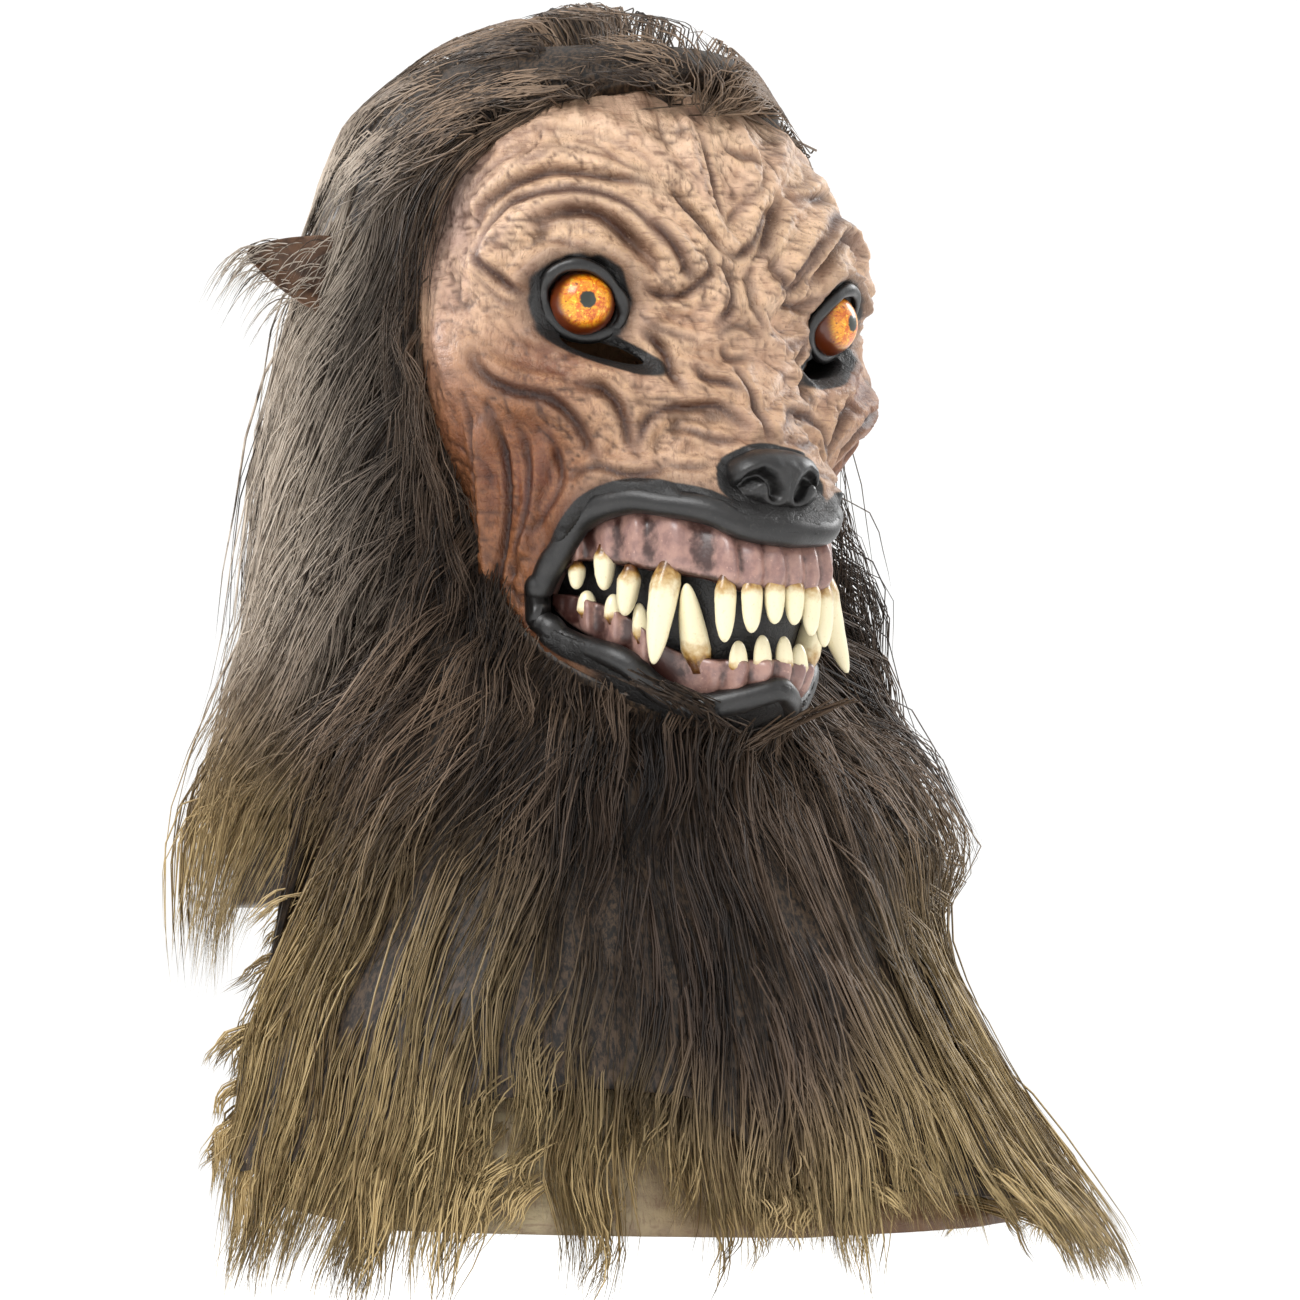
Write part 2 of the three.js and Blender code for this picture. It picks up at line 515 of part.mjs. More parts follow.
// The room of the mouth: between the lips, from the mouth's floor to well outside the muzzle.
function mouthRoom() {
  const sections = mouthStations.map((azimuth) => {
    const low = mouthZ("lower_lip", azimuth);
    const high = mouthZ("upper_lip", azimuth);
    return [
      overForm(azimuth, low, -MOUTH_DEPTH), overForm(azimuth, low, 2 * MOUTH_DEPTH),
      overForm(azimuth, high, 2 * MOUTH_DEPTH), overForm(azimuth, high, -MOUTH_DEPTH),
    ];
  });
  const middle = (s) => s.reduce((sum, p) => sum.add(p), new THREE.Vector3()).divideScalar(s.length);
  return gridSolid(sections, middle(sections[0]), middle(sections.at(-1)));
}

function nosePad(grow) {
  const ball = solidOf(new THREE.SphereGeometry(1, 12, 8));
  return atFace(
    ball.scale([NOSE_HALF_WIDTH + grow, NOSE_HALF_HEIGHT + grow, NOSE_HALF_DEPTH + grow]), 0, NOSE_DROP, NOSE_SINK,
  );
}

function nostril(side) {
  const pit = solidOf(new THREE.SphereGeometry(NOSTRIL_RADIUS, 7, 5)).translate([side * NOSTRIL_OFFSET, 0, NOSE_HALF_DEPTH - 3]);
  return atFace(pit, 0, NOSE_DROP, NOSE_SINK);
}

function lidRoll(side, grow) {
  const steps = 12;
  const middle = levelZ(EYE_DROP / FACE_DROP);
  const loop = Array.from({ length: steps }, (_, k) => {
    const angle = rad(-90 + (360 * k) / steps);
    const long = LID_HALF_WIDTH * Math.sin(angle);
    const high = LID_HALF_HEIGHT * Math.cos(angle);
    const tilt = rad(side * LID_TILT);
    const away = (long * Math.cos(tilt) - high * Math.sin(tilt)) / MEAN_RADIUS;
    return {
      azimuth: side * EYE_AZIMUTH + THREE.MathUtils.radToDeg(away),
      z: middle + long * Math.sin(tilt) + high * Math.cos(tilt),
    };
  });
  return roll(loop, LID_THICKNESS + 2 * grow, -SOCKET_DEPTH / 2, 6);
}

// The casting's outer form as a closed solid, grown by an offset.
function outerForm(grow) {
  const grid = castingRows.map((row) => row.map((p) => p.base.clone().addScaledVector(p.way, p.height + grow)));
  const top = new THREE.Vector3(0, 0, WALL + grow);
  const bottom = new THREE.Vector3(0, 0, CHIN_Z - BIB_DROP);
  let form = gridSolid(grid, top, bottom).subtract(mouthRoom());
  form = form.add(roll(mouthLoop(LIP_THICKNESS / 2 - 1.5), LIP_THICKNESS + 2 * grow, -LIP_SINK, 6)).add(nosePad(grow));
  for (const side of [-1, 1]) form = form.add(lidRoll(side, grow));
  return form;
}

// The cavity: on every second line of the grid, one wall inside the lowest relief nearby.
function cavity() {
  const lowest = (i, j) => {
    const floors = [];
    for (let di = -INNER_STEP; di <= INNER_STEP; di++)
      for (let dj = -INNER_STEP; dj <= INNER_STEP; dj++) {
        const row = castingRows[clamp(i + di, 0, castingRows.length - 1)];
        floors.push(row[(j + dj + row.length) % row.length].floor);
      }
    return Math.min(...floors);
  };
  const grid = [];
  for (let i = INNER_STEP - 1; i < castingRows.length; i += INNER_STEP)
    grid.push(
      castingRows[i]
        .map((p, j) => p.base.clone().addScaledVector(p.way, lowest(i, j) - WALL))
        .filter((_, j) => j % INNER_STEP === 0),
    );
  const below = grid.at(-1).map((p) => new THREE.Vector3(p.x, p.y, p.z - WALL * 4));
  const top = new THREE.Vector3(0, 0, 0);
  const bottom = new THREE.Vector3(0, 0, CHIN_Z - 2 * BIB_DROP);
  return gridSolid([...grid, below], top, bottom);
}


// Places a solid at a point of the face: its +Z goes out of the face, its +X to the wearer's left.
function atFace(solid, azimuth, drop, sink, turn = 0) {
  const z = levelZ(drop / FACE_DROP);
  const radius = formRadius(azimuth, z) - sink;
  const matrix = new THREE.Matrix4()
    .makeTranslation(polar(radius, azimuth, z))
    .multiply(new THREE.Matrix4().makeRotationZ(rad(azimuth)))
    .multiply(new THREE.Matrix4().makeRotationX(rad(90)))
    .multiply(new THREE.Matrix4().makeRotationZ(rad(turn)));
  return solid.transform(matrix.elements);
}

const grownForm = outerForm(CLEARANCE);

function eyeball(side, clearance) {
  const ball = solidOf(new THREE.SphereGeometry(EYE_RADIUS + clearance, 12, 8));
  const back = solidOf(new THREE.BoxGeometry(6 * EYE_RADIUS, 6 * EYE_RADIUS, 2 * EYE_RADIUS));
  const cut = back.translate([0, 0, -EYE_BACK - clearance - EYE_RADIUS]);
  return atFace(ball.subtract(cut), side * EYE_AZIMUTH, EYE_DROP, EYE_SINK);
}

function slit(side) {
  const outline = new THREE.Shape();
  outline.absellipse(0, 0, SLIT_LENGTH / 2, SLIT_HEIGHT / 2, 0, 2 * Math.PI);
  const cut = solidOf(new THREE.ExtrudeGeometry(outline, { depth: SLIT_CUT, bevelEnabled: false, curveSegments: 6 }));
  return atFace(cut.translate([0, 0, -SLIT_CUT / 2]), side * SLIT_AZIMUTH, SLIT_DROP, 0, side * SLIT_TILT);
}

function latexHead() {
  let head = outerForm(0).subtract(cavity());
  for (const side of [-1, 1])
    head = head.subtract(slit(side)).subtract(eyeball(side, CLEARANCE)).subtract(nostril(side));
  return mainBody(head);
}

// A tooth: rings that swell and close along a line from its root, inside the gum, to its tip.
function toothSolid(tooth, side, clearance) {
  const rootZ = levelZ(tooth.root);
  const tipZ = levelZ(tooth.tip);
  const down = Math.sign(tipZ - rootZ);
  const base = formRadius(tooth.from, rootZ) - MOUTH_DEPTH + GUM_THICKNESS - tooth.depth / 2 + 1;
  const grid = [];
  const height = (share) => lerp(rootZ - down * (TOOTH_ROOT + clearance), tipZ + down * clearance, share);
  const ring = (share, swell) => {
    const z = height(share);
    const azimuth = side * lerp(tooth.from, tooth.to, share);
    const centre = polar(base + tooth.lean * share * share, azimuth, z);
    const outwards = polar(1, azimuth, 0);
    const sideways = polar(1, azimuth + 90, 0);
    return Array.from({ length: tooth.sides }, (_, k) => {
      const angle = (2 * Math.PI * (k + 0.5)) / tooth.sides;
      return centre
        .clone()
        .addScaledVector(outwards, (swell * tooth.depth * 0.5 + clearance) * Math.cos(angle))
        .addScaledVector(sideways, (swell * tooth.width * 0.5 + clearance) * Math.sin(angle));
    });
  };
  for (let i = 0; i <= tooth.rings; i++) {
    const share = i / (tooth.rings + 0.6);
    grid.push(ring(share, Math.sqrt(1 - share ** tooth.blunt) * lerp(0.8, 1, smoothstep(share, 0, 0.4))));
  }
  const end = (share) => polar(base + tooth.lean * share * share, side * lerp(tooth.from, tooth.to, share), height(share));
  const ends = [end(0), end(1)];
  const upright = down < 0;
  return gridSolid(upright ? grid : grid.reverse(), ...(upright ? ends : ends.reverse()));
}

const teeth = TEETH.flatMap((tooth) =>
  [-1, 1].map((side) => ({
    name: `${tooth.name}_${side < 0 ? "right" : "left"}`,
    jaw: tooth.jaw,
    solid: toothSolid(tooth, side, 0),
    socket: toothSolid(tooth, side, CLEARANCE),
  })),
);

// A gum: a rounded bar along the mouth's floor, from its lip to its teeth, with a socket for each tooth.
const GUM_END_STATIONS = 3; // the gums stop this many stations short of the mouth's corners
function gumSolid(jaw) {
  const gap = 1.5 * CLEARANCE;
  const sections = mouthStations.slice(GUM_END_STATIONS, -GUM_END_STATIONS).map((azimuth) => {
    const below = GUM_BELOW_LIP + GUM_CORNER_EASE * Math.abs(azimuth / MOUTH_CORNER) ** 3;
    const inward = jaw === "upper" ? -below : below;
    const lip = mouthZ(`${jaw}_lip`, azimuth) + inward;
    const root = mouthZ(`${jaw}_root`, azimuth);
    const low = Math.min(lip, root);
    const high = Math.max(lip, root);
    const back = -MOUTH_DEPTH + gap;
    const front = -MOUTH_DEPTH + GUM_THICKNESS;
    const soft = Math.min(GUM_ROUND, (high - low) * 0.4);
    return [
      overForm(azimuth, low, back), overForm(azimuth, low, front - soft), overForm(azimuth, low + soft, front),
      overForm(azimuth, high - soft, front), overForm(azimuth, high, front - soft), overForm(azimuth, high, back),
    ];
  });
  const middle = (s) => s.reduce((sum, p) => sum.add(p), new THREE.Vector3()).divideScalar(s.length);
  let gum = gridSolid(sections, middle(sections[0]), middle(sections.at(-1)));
  for (const tooth of teeth) gum = gum.subtract(tooth.socket);
  return mainBody(gum);
}

// An ear: a leaf-shaped shell that stands out from the skull, hollowed from its front face.
function earSolid(side, clearance) {
  const rows = 4;
  const leaf = (halfWidth, thickness, length, forward) => {
    const grid = [];
    for (let i = 0; i <= rows; i++) {
      const share = i / (rows + 0.5);
      const swell = Math.sqrt(1 - share ** 2) * lerp(0.8, 1, smoothstep(share, 0, 0.4));
      const centre = new THREE.Vector3(0, forward, share * length);
      grid.push(
        Array.from({ length: 8 }, (_, k) => {
          const angle = (2 * Math.PI * k) / 8;
          return new THREE.Vector3(
            centre.x + (halfWidth * swell) * Math.cos(angle),
            centre.y + thickness * 0.5 * swell * Math.sin(angle),
            centre.z,
          );
        }),
      );
    }
    return gridSolid(grid.reverse(), new THREE.Vector3(0, forward, length), new THREE.Vector3(0, forward, 0));
  };
  const grow = clearance;
  let ear = leaf(EAR_HALF_WIDTH + grow, EAR_THICKNESS + 2 * grow, EAR_LENGTH + grow, 0);
  if (clearance === 0) {
    const scoop = leaf(EAR_HALF_WIDTH - EAR_WALL, EAR_THICKNESS, EAR_LENGTH - 3 * EAR_WALL, -EAR_WALL);
    ear = ear.subtract(scoop.translate([0, 0, EAR_WALL]));
  }
  const z = levelZ(EAR_DROP / FACE_DROP);
  const azimuth = side * EAR_AZIMUTH;
  const root = polar(formRadius(azimuth, z) - EAR_WALL, azimuth, z);
  const tilt = Math.atan2(EAR_RISE, EAR_LENGTH);
  const turn = new THREE.Matrix4().makeBasis(
    new THREE.Vector3(0, 0, 1).multiplyScalar(1),
    polar(1, azimuth + side * 90, 0),
    polar(1, azimuth, 0),
  );
  if (turn.determinant() < 0)
    turn.makeBasis(new THREE.Vector3(0, 0, -1), polar(1, azimuth + side * 90, 0), polar(1, azimuth, 0));
  const lean = new THREE.Matrix4().makeRotationAxis(polar(1, azimuth + 90, 0), -tilt);
  const place = new THREE.Matrix4().makeTranslation(root).multiply(lean).multiply(turn);
  return ear.transform(place.elements).subtract(grownForm);
}

// The fur's radius at an azimuth and height, with the level clamped to its table.
const furNames = Object.keys(FUR_AZIMUTHS);
const furAzimuths = [...Object.values(FUR_AZIMUTHS), 180];
const furLevels = pick(FUR_SECTIONS, "level");
function furRadius(azimuth, z) {
  const radii = FUR_SECTIONS.map((section) => {
    const around = toRow(furNames, section, FUR_REACH);
    return through(furAzimuths, [...around, around[0]], azimuth);
  });
  return through(furLevels, radii, zLevel(z));
}

const furHemZ = (azimuth) => levelZ(straight(pick(FUR_HEM, "azimuth"), pick(FUR_HEM, "level"), azimuth));
const furColumns = Array.from({ length: FUR_COLUMNS - 1 }, (_, j) => lerp(-180, 180, j / (FUR_COLUMNS - 1)));

// The whole coat of fur before it is cut: even columns are ridges with long tips, odd ones the valleys between locks.
function furCoat() {
  const split = levelZ(FUR_SPLIT_LEVEL);
  const upper = furLevels.slice(1).filter((level) => level < FUR_SPLIT_LEVEL);
  const rise = (level) => (level < 0 ? WALL - level * (FUR_RISE / -furLevels[0]) : levelZ(level));
  const rows = upper.length + FUR_SKIRT_ROWS;
  const grid = Array.from({ length: rows }, (_, i) =>
    furColumns.map((azimuth, j) => {
      const ridge = j % 2 === 0 ? 1 : -1;
      if (i < upper.length) {
        const z = rise(upper[i]);
        return polar(furRadius(azimuth, levelZ(upper[i])) + ridge * LOCK_RELIEF * clamp(i / 4, 0, 1), azimuth, z);
      }
      const share = (i - upper.length + 1) / FUR_SKIRT_ROWS;
      const z = lerp(split, furHemZ(azimuth) - ridge * LOCK_TIP, share);
      return polar(furRadius(azimuth, z) + ridge * LOCK_RELIEF, azimuth, z);
    }),
  );
  const top = new THREE.Vector3(0, 0, rise(furLevels[0]));
  return gridSolid(grid, top, new THREE.Vector3(0, 0, levelZ(furLevels.at(-1))));
}

// The room inside the fur: a coarse grid round the casting, raised wherever the casting would poke through it.
const CORE_COLUMNS = 20;
const CORE_ROWS = 14;
function furCore() {
  const flat = 1 / Math.cos(Math.PI / CORE_COLUMNS);
  const top = rings[1].z;
  const floor = CHIN_Z - BIB_DROP * 1.3;
  const azimuthAt = (j) => -180 + (360 * j) / CORE_COLUMNS;
  const heightAt = (i) => lerp(top, floor, (i / CORE_ROWS) ** 1.4);
  const reach = (i, j) => {
    const azimuth = azimuthAt(j);
    return (formRadius(azimuth, heightAt(i)) + Math.max(0, relief(azimuth, heightAt(i)))) * flat;
  };
  const plain = Array.from({ length: CORE_ROWS + 1 }, (_, i) => Array.from({ length: CORE_COLUMNS }, (_, j) => reach(i, j)));
  const raised = plain.map((row) => [...row]);
  const inside = [0.25, 0.5, 0.75];
  for (let i = 0; i < CORE_ROWS; i++)
    for (let j = 0; j < CORE_COLUMNS; j++) {
      const next = (j + 1) % CORE_COLUMNS;
      const corners = [[i, j], [i, next], [i + 1, j], [i + 1, next]];
      const [a, b, c, d] = corners.map(([row, column]) => plain[row][column]);
      const short = inside.flatMap((u) =>
        inside.map((v) => reach(i + u, j + v) - lerp(lerp(a, b, v), lerp(c, d, v), u)),
      );
      for (const [row, column] of corners)
        raised[row][column] = Math.max(raised[row][column], plain[row][column] + Math.max(...short));
    }
  const hollowed = (i, j, radius) => {
    const depth = Math.max(0, furRadius(azimuthAt(j), heightAt(i)) - radius);
    const behind = smoothstep(Math.abs(azimuthAt(j)), CHEST_SIDE, CHEST_SIDE + 30);
    return radius + NAPE_HOLLOW * depth * behind * smoothstep(WALL - heightAt(i), NAPE_TOP, NAPE_BOTTOM);
  };
  const grid = raised.map((row, i) =>
    row.map((radius, j) => polar(hollowed(i, j, radius) + FUR_BACKING_GAP, azimuthAt(j), heightAt(i) + FUR_BACKING_GAP)),
  );
  return gridSolid(grid, new THREE.Vector3(0, 0, WALL + FUR_BACKING_GAP), new THREE.Vector3(0, 0, floor));
}

// The face's window in the fur: rays from the axis through the hairline.
function faceWindow() {
  const eye = new THREE.Vector3(0, 0, levelZ(WINDOW_EYE_LEVEL));
  const line = [...HAIRLINE.slice(0, -1), ...HAIRLINE.slice(1).map((h) => ({ ...h, azimuth: -h.azimuth })).reverse()];
  const rim = line.map((h) => {
    const z = levelZ(h.level);
    const point = polar(formRadius(h.azimuth, z), h.azimuth, z);
    return eye.clone().lerp(point, WINDOW_REACH);
  });
  const far = new THREE.Vector3(0, -WINDOW_REACH * MUZZLE_REACH, eye.z);
  return gridSolid([rim.reverse()], far, eye);
}

// A wedge round the axis between two azimuths, from a height down, wide enough for any fur.
function wedge(from, to, top, bottom) {
  const reach = 3 * FUR_REACH;
  const shape = new THREE.Shape();
  const steps = 6;
  const corner = (a) => polar(reach, a, 0);
  shape.moveTo(0, 0);
  for (let i = 0; i <= steps; i++) {
    const p = corner(lerp(from, to, i / steps));
    shape.lineTo(p.x, p.y);
  }
  const block = new THREE.ExtrudeGeometry(shape, { depth: top - bottom, bevelEnabled: false });
  return solidOf(block).translate([0, 0, bottom]);
}

// Everything round the axis between two heights.
function slab(bottom, top) {
  const width = 6 * FUR_REACH;
  return solidOf(new THREE.BoxGeometry(width, width, top - bottom)).translate([0, 0, (top + bottom) / 2]);
}

function furPieces() {
  const coat = furCoat().subtract(furCore()).subtract(faceWindow());
  const floor = levelZ(2.2);
  const crestZ = levelZ(CREST_BOTTOM / FACE_DROP);
  const chestZ = levelZ(CHEST_TOP / FACE_DROP);
  const sky = WALL + 2 * FUR_RISE;
  const half = CLEARANCE / 2;
  const crest = slab(crestZ + half, sky);
  const below = slab(floor, crestZ - half);
  const chest = wedge(-CHEST_SIDE, CHEST_SIDE, chestZ, floor);
  const chestRoom = wedge(-CHEST_SIDE - 0.3, CHEST_SIDE + 0.3, chestZ + CLEARANCE, floor);
  let mane = coat.intersect(below).subtract(chestRoom);
  for (const side of [-1, 1]) mane = mane.subtract(earSolid(side, 2 * CLEARANCE));
  return {
    crown_fur: mainBody(coat.intersect(crest)),
    mane_fur: mainBody(mane),
    chest_fur: mainBody(coat.intersect(chest)),
  };
}

const SKIN = { color: 0xb58a63, roughness: 0.55, metalness: 0 };
const GUM = { color: 0x9a5f58, roughness: 0.35, metalness: 0 };
const TOOTH = { color: 0xe9ddb0, roughness: 0.3, metalness: 0 };
const EYE = { color: 0xe89a1c, roughness: 0.1, metalness: 0 };
const FUR = { color: 0x4a3a2c, roughness: 0.9, metalness: 0 };

const mask = new THREE.Group();
function addPiece(name, solid, finish) {
  const mesh = new THREE.Mesh(geometryOf(solid), new THREE.MeshStandardMaterial(finish));
  mesh.name = name;
  mask.add(mesh);
}

addPiece("latex_head", latexHead(), SKIN);
for (const [label, side] of [["right", -1], ["left", 1]]) {
  addPiece(`eye_${label}`, eyeball(side, 0), EYE);
  addPiece(`ear_${label}`, mainBody(earSolid(side, 0)), SKIN);
}
for (const jaw of ["upper", "lower"]) addPiece(`${jaw}_gum`, gumSolid(jaw), GUM);
for (const tooth of teeth) addPiece(tooth.name, mainBody(tooth.solid), TOOTH);
for (const [name, solid] of Object.entries(furPieces())) addPiece(name, solid, FUR);

export default mask;
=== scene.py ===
# %% [markdown]
# # A latex wolf-head costume mask
# The real thing is slush-cast latex, worn over the whole head: a snarling wolf's face, a throat and a bib in one
# hollow casting, with long hair glued over crown, sides and chest. This script loads the measured frame of solids,
# then dresses it: each piece below is a surface worked out with numpy on the same form as the solid it stands for.

import math

import bpy
import numpy as np
from mathutils import Matrix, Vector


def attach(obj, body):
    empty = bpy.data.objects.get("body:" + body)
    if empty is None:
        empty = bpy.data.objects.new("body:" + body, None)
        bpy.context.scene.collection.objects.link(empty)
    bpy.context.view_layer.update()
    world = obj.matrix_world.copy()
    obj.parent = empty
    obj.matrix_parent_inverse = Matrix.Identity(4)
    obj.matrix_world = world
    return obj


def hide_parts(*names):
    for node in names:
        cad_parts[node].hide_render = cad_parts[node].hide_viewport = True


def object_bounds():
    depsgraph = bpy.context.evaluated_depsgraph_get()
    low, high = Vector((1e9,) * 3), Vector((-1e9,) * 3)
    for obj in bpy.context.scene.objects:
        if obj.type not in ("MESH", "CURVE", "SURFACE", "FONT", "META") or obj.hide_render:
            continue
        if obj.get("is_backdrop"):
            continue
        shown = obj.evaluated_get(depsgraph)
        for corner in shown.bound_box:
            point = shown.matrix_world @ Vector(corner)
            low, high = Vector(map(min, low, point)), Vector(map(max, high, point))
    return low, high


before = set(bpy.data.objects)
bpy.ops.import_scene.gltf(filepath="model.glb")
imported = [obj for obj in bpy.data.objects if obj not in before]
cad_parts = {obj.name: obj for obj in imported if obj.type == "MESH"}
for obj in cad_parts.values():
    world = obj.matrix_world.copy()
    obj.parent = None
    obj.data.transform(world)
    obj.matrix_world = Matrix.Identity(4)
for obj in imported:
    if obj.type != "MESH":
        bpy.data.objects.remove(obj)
CAD_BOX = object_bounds()
MM = 0.001  # the formulas below are in millimetres, Blender's meshes in metres
print("frame loaded, box", [[round(v, 3) for v in corner] for corner in CAD_BOX])

# %% [markdown]
# ## The camera
# The photograph was taken from a little below the mask's middle and from its right-hand side, with a long lens.
# A camera is easiest to aim by its three axes: which way is right, up and back in its picture.

# %% The camera at the photograph's angle
VIEW_AZIMUTH, VIEW_ELEVATION = -34.0, -4.0  # degrees, from the front and from the level
VIEW_DISTANCE = 2200.0
VIEW_TARGET = np.array([0.0, 0.0, -230.0])
PHOTO_SIZE = 1300  # pixels along each side of the photograph
PHOTO_TARGET = (595.0, 657.5)  # pixel where the target shows
PIXELS_PER_MM = 2.5  # at the target's distance
SENSOR_WIDTH = 36.0

azimuth, elevation = math.radians(VIEW_AZIMUTH), math.radians(VIEW_ELEVATION)
CAMERA_BACK = np.array([
    math.sin(azimuth) * math.cos(elevation), -math.cos(azimuth) * math.cos(elevation), math.sin(elevation),
])
CAMERA_RIGHT = np.array([math.cos(azimuth), math.sin(azimuth), 0.0])
CAMERA_UP = np.cross(CAMERA_BACK, CAMERA_RIGHT)

camera = bpy.data.cameras.new("photo_camera")
camera.sensor_width = SENSOR_WIDTH
camera.lens = SENSOR_WIDTH * VIEW_DISTANCE * PIXELS_PER_MM / PHOTO_SIZE
camera.shift_x = (PHOTO_SIZE / 2 - PHOTO_TARGET[0]) / PHOTO_SIZE
camera.shift_y = (PHOTO_TARGET[1] - PHOTO_SIZE / 2) / PHOTO_SIZE
camera_object = bpy.data.objects.new("photo_camera", camera)
bpy.context.collection.objects.link(camera_object)
place = np.eye(4)
place[:3, :3] = np.stack([CAMERA_RIGHT, CAMERA_UP, CAMERA_BACK], axis=1)
place[:3, 3] = (VIEW_TARGET + VIEW_DISTANCE * CAMERA_BACK) * MM
camera_object.matrix_world = Matrix(place)
bpy.context.scene.camera = camera_object
print("camera lens", round(camera.lens, 1), "mm")

# %% [markdown]
# ## Two helpers for materials
# Paint colours are picked as sRGB hex values, but a shader works with linear light, so one function turns them over.
# A second one adds a node: it sets the node's properties and fills its sockets, with values or with links.


# %% Helpers for colours and shader nodes
def hex_colour(text):
    """sRGB hex to linear RGBA: c/12.92 up to 0.04045, else ((c + 0.055)/1.055)^2.4."""
    channels = np.array([int(text[i:i + 2], 16) for i in (1, 3, 5)]) / 255
    linear = np.where(channels <= 0.04045, channels / 12.92, ((channels + 0.055) / 1.055) ** 2.4)
    return (*linear.tolist(), 1.0)


def add(tree, kind, inputs=None, **settings):
    """Adds a shader node; inputs maps a socket's name or number to a value or to another node's output."""
    made = tree.nodes.new("ShaderNode" + kind)
    for key, value in settings.items():
        setattr(made, key, value)
    for key, value in (inputs or {}).items():
        if isinstance(value, bpy.types.NodeSocket):
            tree.links.new(value, made.inputs[key])
        else:
            made.inputs[key].default_value = value
    return made


def start_material(name):
    """An empty material's tree, and the Object coordinates that its patterns read."""
    material = bpy.data.materials.new(name)
    material.use_nodes = True
    material.node_tree.nodes.clear()
    return material, material.node_tree, add(material.node_tree, "TexCoord").outputs["Object"]


def finish_material(material, tree, shader):
    """Links the shader to the material's output."""
    add(tree, "OutputMaterial", {"Surface": shader.outputs[0]})
    print("material", material.name, "with", len(tree.nodes), "nodes")
    return material


# %% [markdown]
# ## Stage and light
# The mask is shown as worn, with nobody in it, so it hangs over a plain pale sweep: a floor that bends up into a
# wall. One large soft lamp stands high on the camera's left, a weaker one fills in from the right, and two behind
# the mask edge the hair with light. An even white sky does the rest, as in a white photo booth.

# %% The pale sweep
FLOOR_GAP = 60.0  # from the lowest lock to the floor
SWEEP_HALF, SWEEP_FRONT, SWEEP_BACK, SWEEP_BEND, SWEEP_TOP = 9000.0, 4000.0, 4200.0, 1500.0, 6000.0

material, tree, spot = start_material("matt_backdrop_paper")
grain = add(tree, "TexNoise", {"Vector": spot, "Scale": 3.0}).outputs["Fac"]
paper = add(tree, "MixRGB", {"Fac": grain, "Color1": hex_colour("#fbfbfa"), "Color2": hex_colour("#ffffff")})
shader = add(tree, "BsdfPrincipled", {"Base Color": paper.outputs[0], "Roughness": 0.9})
backdrop_paper = finish_material(material, tree, shader)

low = CAD_BOX[0][2] / MM - FLOOR_GAP
bend = np.radians(np.linspace(0, 90, 16))
profile = np.array([
    [-SWEEP_FRONT, low],
    *np.stack([SWEEP_BACK + SWEEP_BEND * np.sin(bend), low + SWEEP_BEND * (1 - np.cos(bend))], axis=1),
    [SWEEP_BACK + SWEEP_BEND, SWEEP_TOP],
])
far = -CAMERA_BACK * [1, 1, 0] / np.hypot(CAMERA_BACK[0], CAMERA_BACK[1])
across_stage = SWEEP_HALF * CAMERA_RIGHT
edge = profile[:, :1] * far + profile[:, 1:] * [0, 0, 1]
points = np.concatenate([edge - across_stage, edge + across_stage]) * MM
count = len(profile)
faces = [(i, i + count, i + count + 1, i + 1) for i in range(count - 1)]
mesh = bpy.data.meshes.new("sweep")
mesh.from_pydata(points.tolist(), [], faces)
mesh.polygons.foreach_set("use_smooth", np.ones(len(faces), bool))
mesh.materials.append(backdrop_paper)
sweep = bpy.data.objects.new("sweep", mesh)
bpy.context.collection.objects.link(sweep)
sweep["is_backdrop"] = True
print("floor at", round(low), "mm")

# %% Soft lamps and an even sky
LAMPS = [  # name, metres to the camera's right, up and back from the mask, edge in metres, watts
    ("key", -1.2, 1.7, 1.5, 1.0, 34.0),
    ("fill", 1.9, 0.3, 1.6, 1.8, 6.0),
    ("rim_left", -1.7, 0.9, -0.9, 0.9, 34.0),
    ("rim_right", 1.6, 1.0, -1.2, 0.9, 20.0),
]
for name, right, up, back, size, power in LAMPS:
    lamp = bpy.data.lights.new(name, "AREA")
    lamp.size = size
    lamp.energy = power
    made = bpy.data.objects.new(name, lamp)
    bpy.context.collection.objects.link(made)
    aim = right * CAMERA_RIGHT + up * np.array([0, 0, 1.0]) + back * CAMERA_BACK
    length = np.linalg.norm(aim)
    z_axis = aim / length
    x_axis = np.cross([0, 0, 1.0], z_axis)
    x_axis /= np.linalg.norm(x_axis)
    turn = np.eye(4)
    turn[:3, :3] = np.stack([x_axis, np.cross(z_axis, x_axis), z_axis], axis=1)
    turn[:3, 3] = VIEW_TARGET * MM + aim
    made.matrix_world = Matrix(turn)
world = bpy.data.worlds.new("even_sky")
world.use_nodes = True
world.node_tree.nodes["Background"].inputs["Color"].default_value = hex_colour("#ffffff")
world.node_tree.nodes["Background"].inputs["Strength"].default_value = 1.0
bpy.context.scene.world = world
bpy.context.scene.view_settings.view_transform = "Standard"
print(len(LAMPS), "lamps")

# %% [markdown]
# ## One way to turn a grid into a mesh
# Almost every piece here is a grid of points: rows and columns of a surface with two parameters. The faces of a grid
# depend on nothing but its size, so one helper makes them, and another puts points and faces into a mesh at once.


# %% Mesh helpers
def grid_faces(rows, columns, around=True):
    """Quads (i, j), (i+1, j), (i+1, j+1), (i, j+1); around joins the last column to the first."""
    i, j = np.meshgrid(np.arange(rows - 1), np.arange(columns if around else columns - 1), indexing="ij")
    k = (j + 1) % columns
    quads = np.stack([i * columns + j, (i + 1) * columns + j, (i + 1) * columns + k, i * columns + k], axis=-1)
    return quads.reshape(-1, 4)


